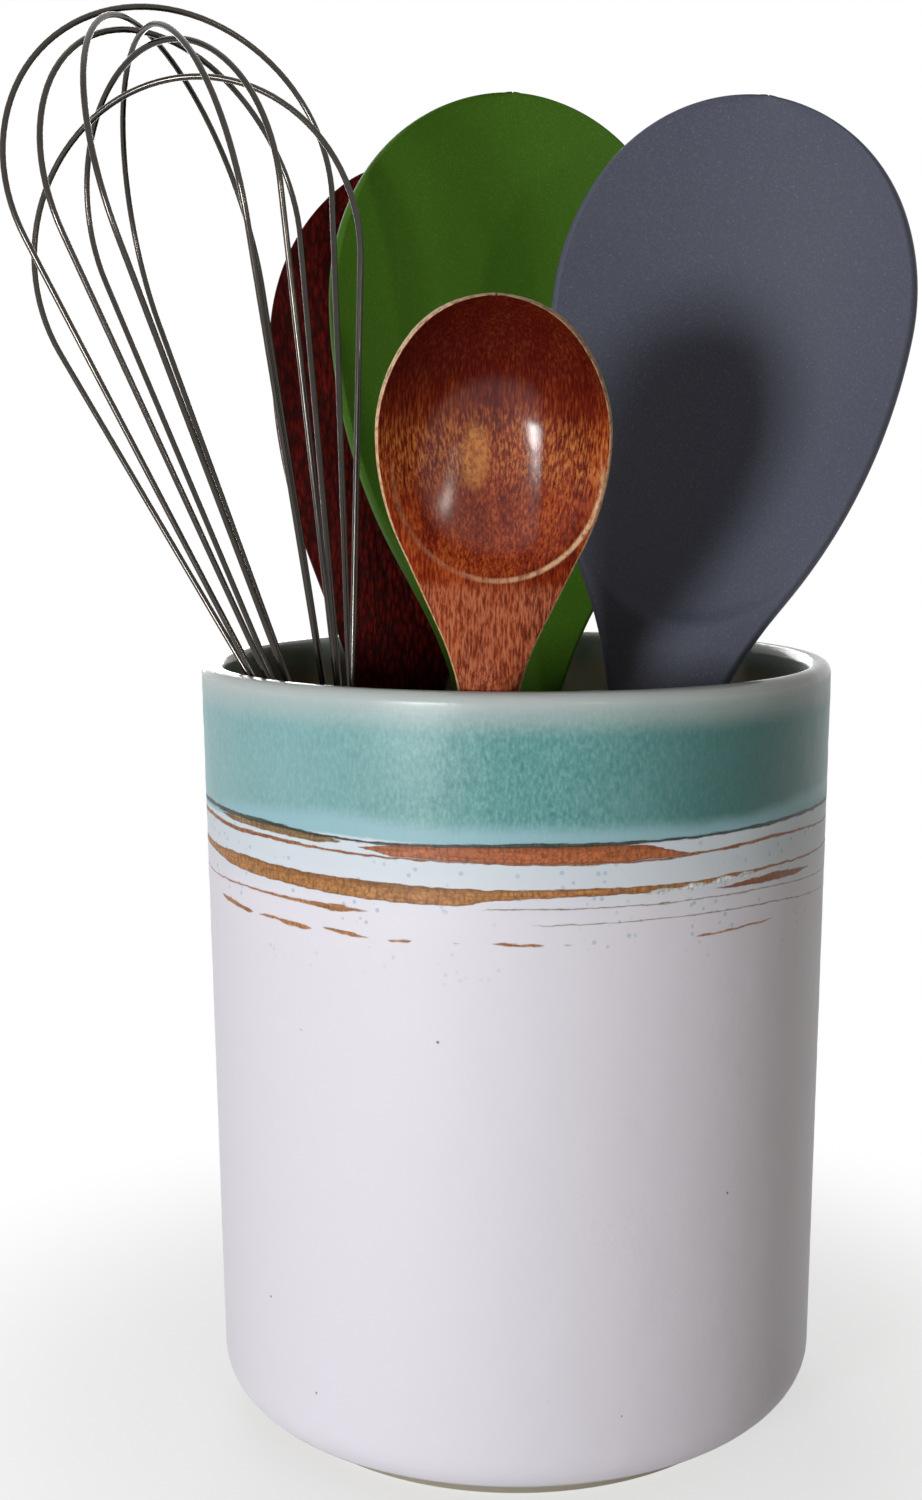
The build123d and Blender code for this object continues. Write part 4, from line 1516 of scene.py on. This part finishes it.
@dataclass
class Studio:
    """Floor, white surroundings, soft lamps and the camera."""

    camera_place: Triple = (0.0, -0.4418, 0.2192)
    camera_pitch: float = 76.484
    lens: float = 47.01
    sensor: float = 36.0
    shift: Tuple[float, float] = (-0.037, 0.1167)
    nearest: float = 0.01
    ambient: float = 0.095
    ambient_colour: Colour = (1.0, 0.90, 0.72)
    lamps: Tuple[Softbox, ...] = (
        Softbox("key", (-0.65, -1.02, 0.20), 0.12, 0.24, 10.0, (0.98, 0.985, 1.0)),
        Softbox("fill", (0.50, -1.0, 0.38), 0.15, 0.07, 0.8, (1.0, 0.93, 0.82)),
        Softbox("top", (-0.1, 0.35, 1.3), 0.1, 0.8, 1.0),
        Softbox("back", (-0.25, 1.1, 0.45), 0.12, 0.6, 5.0, (1.0, 0.99, 0.97)),
    )
    floor_reach: float = 3.0
    floor_corners: int = 96
    floor_colour: Colour = srgb(236, 236, 236)
    floor_roughness: float = 0.9
    floor_shine: float = 0.1
    floor_glow: Fade = Fade(0.07, 0.20, 0.66, 1.0)

    def camera(self) -> None:
        """Places the camera at the photograph's view."""
        data = bpy.data.cameras.new("camera")
        data.sensor_width = self.sensor
        data.lens = self.lens
        data.shift_x, data.shift_y = self.shift
        data.clip_start = self.nearest
        camera = bpy.data.objects.new("camera", data)
        camera.location = self.camera_place
        camera.rotation_euler = (math.radians(self.camera_pitch), 0.0, 0.0)
        bpy.context.scene.collection.objects.link(camera)
        bpy.context.scene.camera = camera

    def surroundings(self) -> None:
        """A white world to the camera and to gloss, and a soft even light to the rest."""
        world = bpy.data.worlds.new("surroundings")
        bpy.context.scene.world = world
        world.use_nodes = True
        nodes, links = world.node_tree.nodes, world.node_tree.links
        nodes.clear()
        path = nodes.new("ShaderNodeLightPath")
        white = path.outputs["Is Camera Ray"]
        for ray in ("Is Transmission Ray", "Is Glossy Ray"):
            either = nodes.new("ShaderNodeMath")
            either.operation = "MAXIMUM"
            links.new(white, either.inputs[0])
            links.new(path.outputs[ray], either.inputs[1])
            white = either.outputs[0]
        strength = nodes.new("ShaderNodeMapRange")
        links.new(white, strength.inputs["Value"])
        strength.inputs["To Min"].default_value = self.ambient
        strength.inputs["To Max"].default_value = 1.0
        tint = nodes.new("ShaderNodeMix")
        tint.data_type = "RGBA"
        links.new(white, tint.inputs[MIX_SHARE])
        tint.inputs[MIX_UNDER].default_value = (*self.ambient_colour, 1.0)
        tint.inputs[MIX_OVER].default_value = (*WHITE, 1.0)
        light = nodes.new("ShaderNodeBackground")
        links.new(tint.outputs[MIX_RESULT], light.inputs["Color"])
        links.new(strength.outputs["Result"], light.inputs["Strength"])
        output = nodes.new("ShaderNodeOutputWorld")
        links.new(light.outputs["Background"], output.inputs["Surface"])

    def floor(self) -> None:
        """A plain pale floor that keeps the shadow and turns white further out."""
        count = self.floor_corners
        angle = np.linspace(0.0, 2.0 * math.pi, count, endpoint=False)
        ring = np.stack([np.cos(angle), np.sin(angle), np.zeros_like(angle)], axis=1)
        ring *= self.floor_reach
        floor = new_mesh_object("studio_floor", ring, np.arange(count), np.array([count]))
        graph = NodeGraph("studio_floor")
        graph.set("Base Color", self.floor_colour)
        graph.set("Roughness", self.floor_roughness)
        graph.set("Specular IOR Level", self.floor_shine)
        x, y, _ = graph.parts(graph.position())
        nodes, links = graph.tree.nodes, graph.tree.links
        path = nodes.new("ShaderNodeLightPath")
        seen = graph.math("MAXIMUM", path.outputs["Is Camera Ray"], path.outputs["Is Glossy Ray"])
        white = nodes.new("ShaderNodeEmission")
        blend = nodes.new("ShaderNodeMixShader")
        graph.put(blend.inputs[0], graph.times(graph.step(graph.span(x, y), self.floor_glow), seen))
        links.new(graph.shader.outputs["BSDF"], blend.inputs[1])
        links.new(white.outputs["Emission"], blend.inputs[2])
        links.new(blend.outputs["Shader"], graph.output.inputs["Surface"])
        floor.data.materials.append(graph.material)

    def build(self) -> None:
        """Sets up the whole studio."""
        self.camera()
        self.surroundings()
        self.floor()
        for lamp in self.lamps:
            lamp.build()
        bpy.context.scene.view_settings.view_transform = "Standard"


def main() -> None:
    """Builds every sub-assembly."""
    logging.basicConfig(level=logging.INFO, format="%(name)s: %(message)s")
    Studio().build()
    Crock().build()
    Tools().build()


if __name__ == "__main__":
    main()
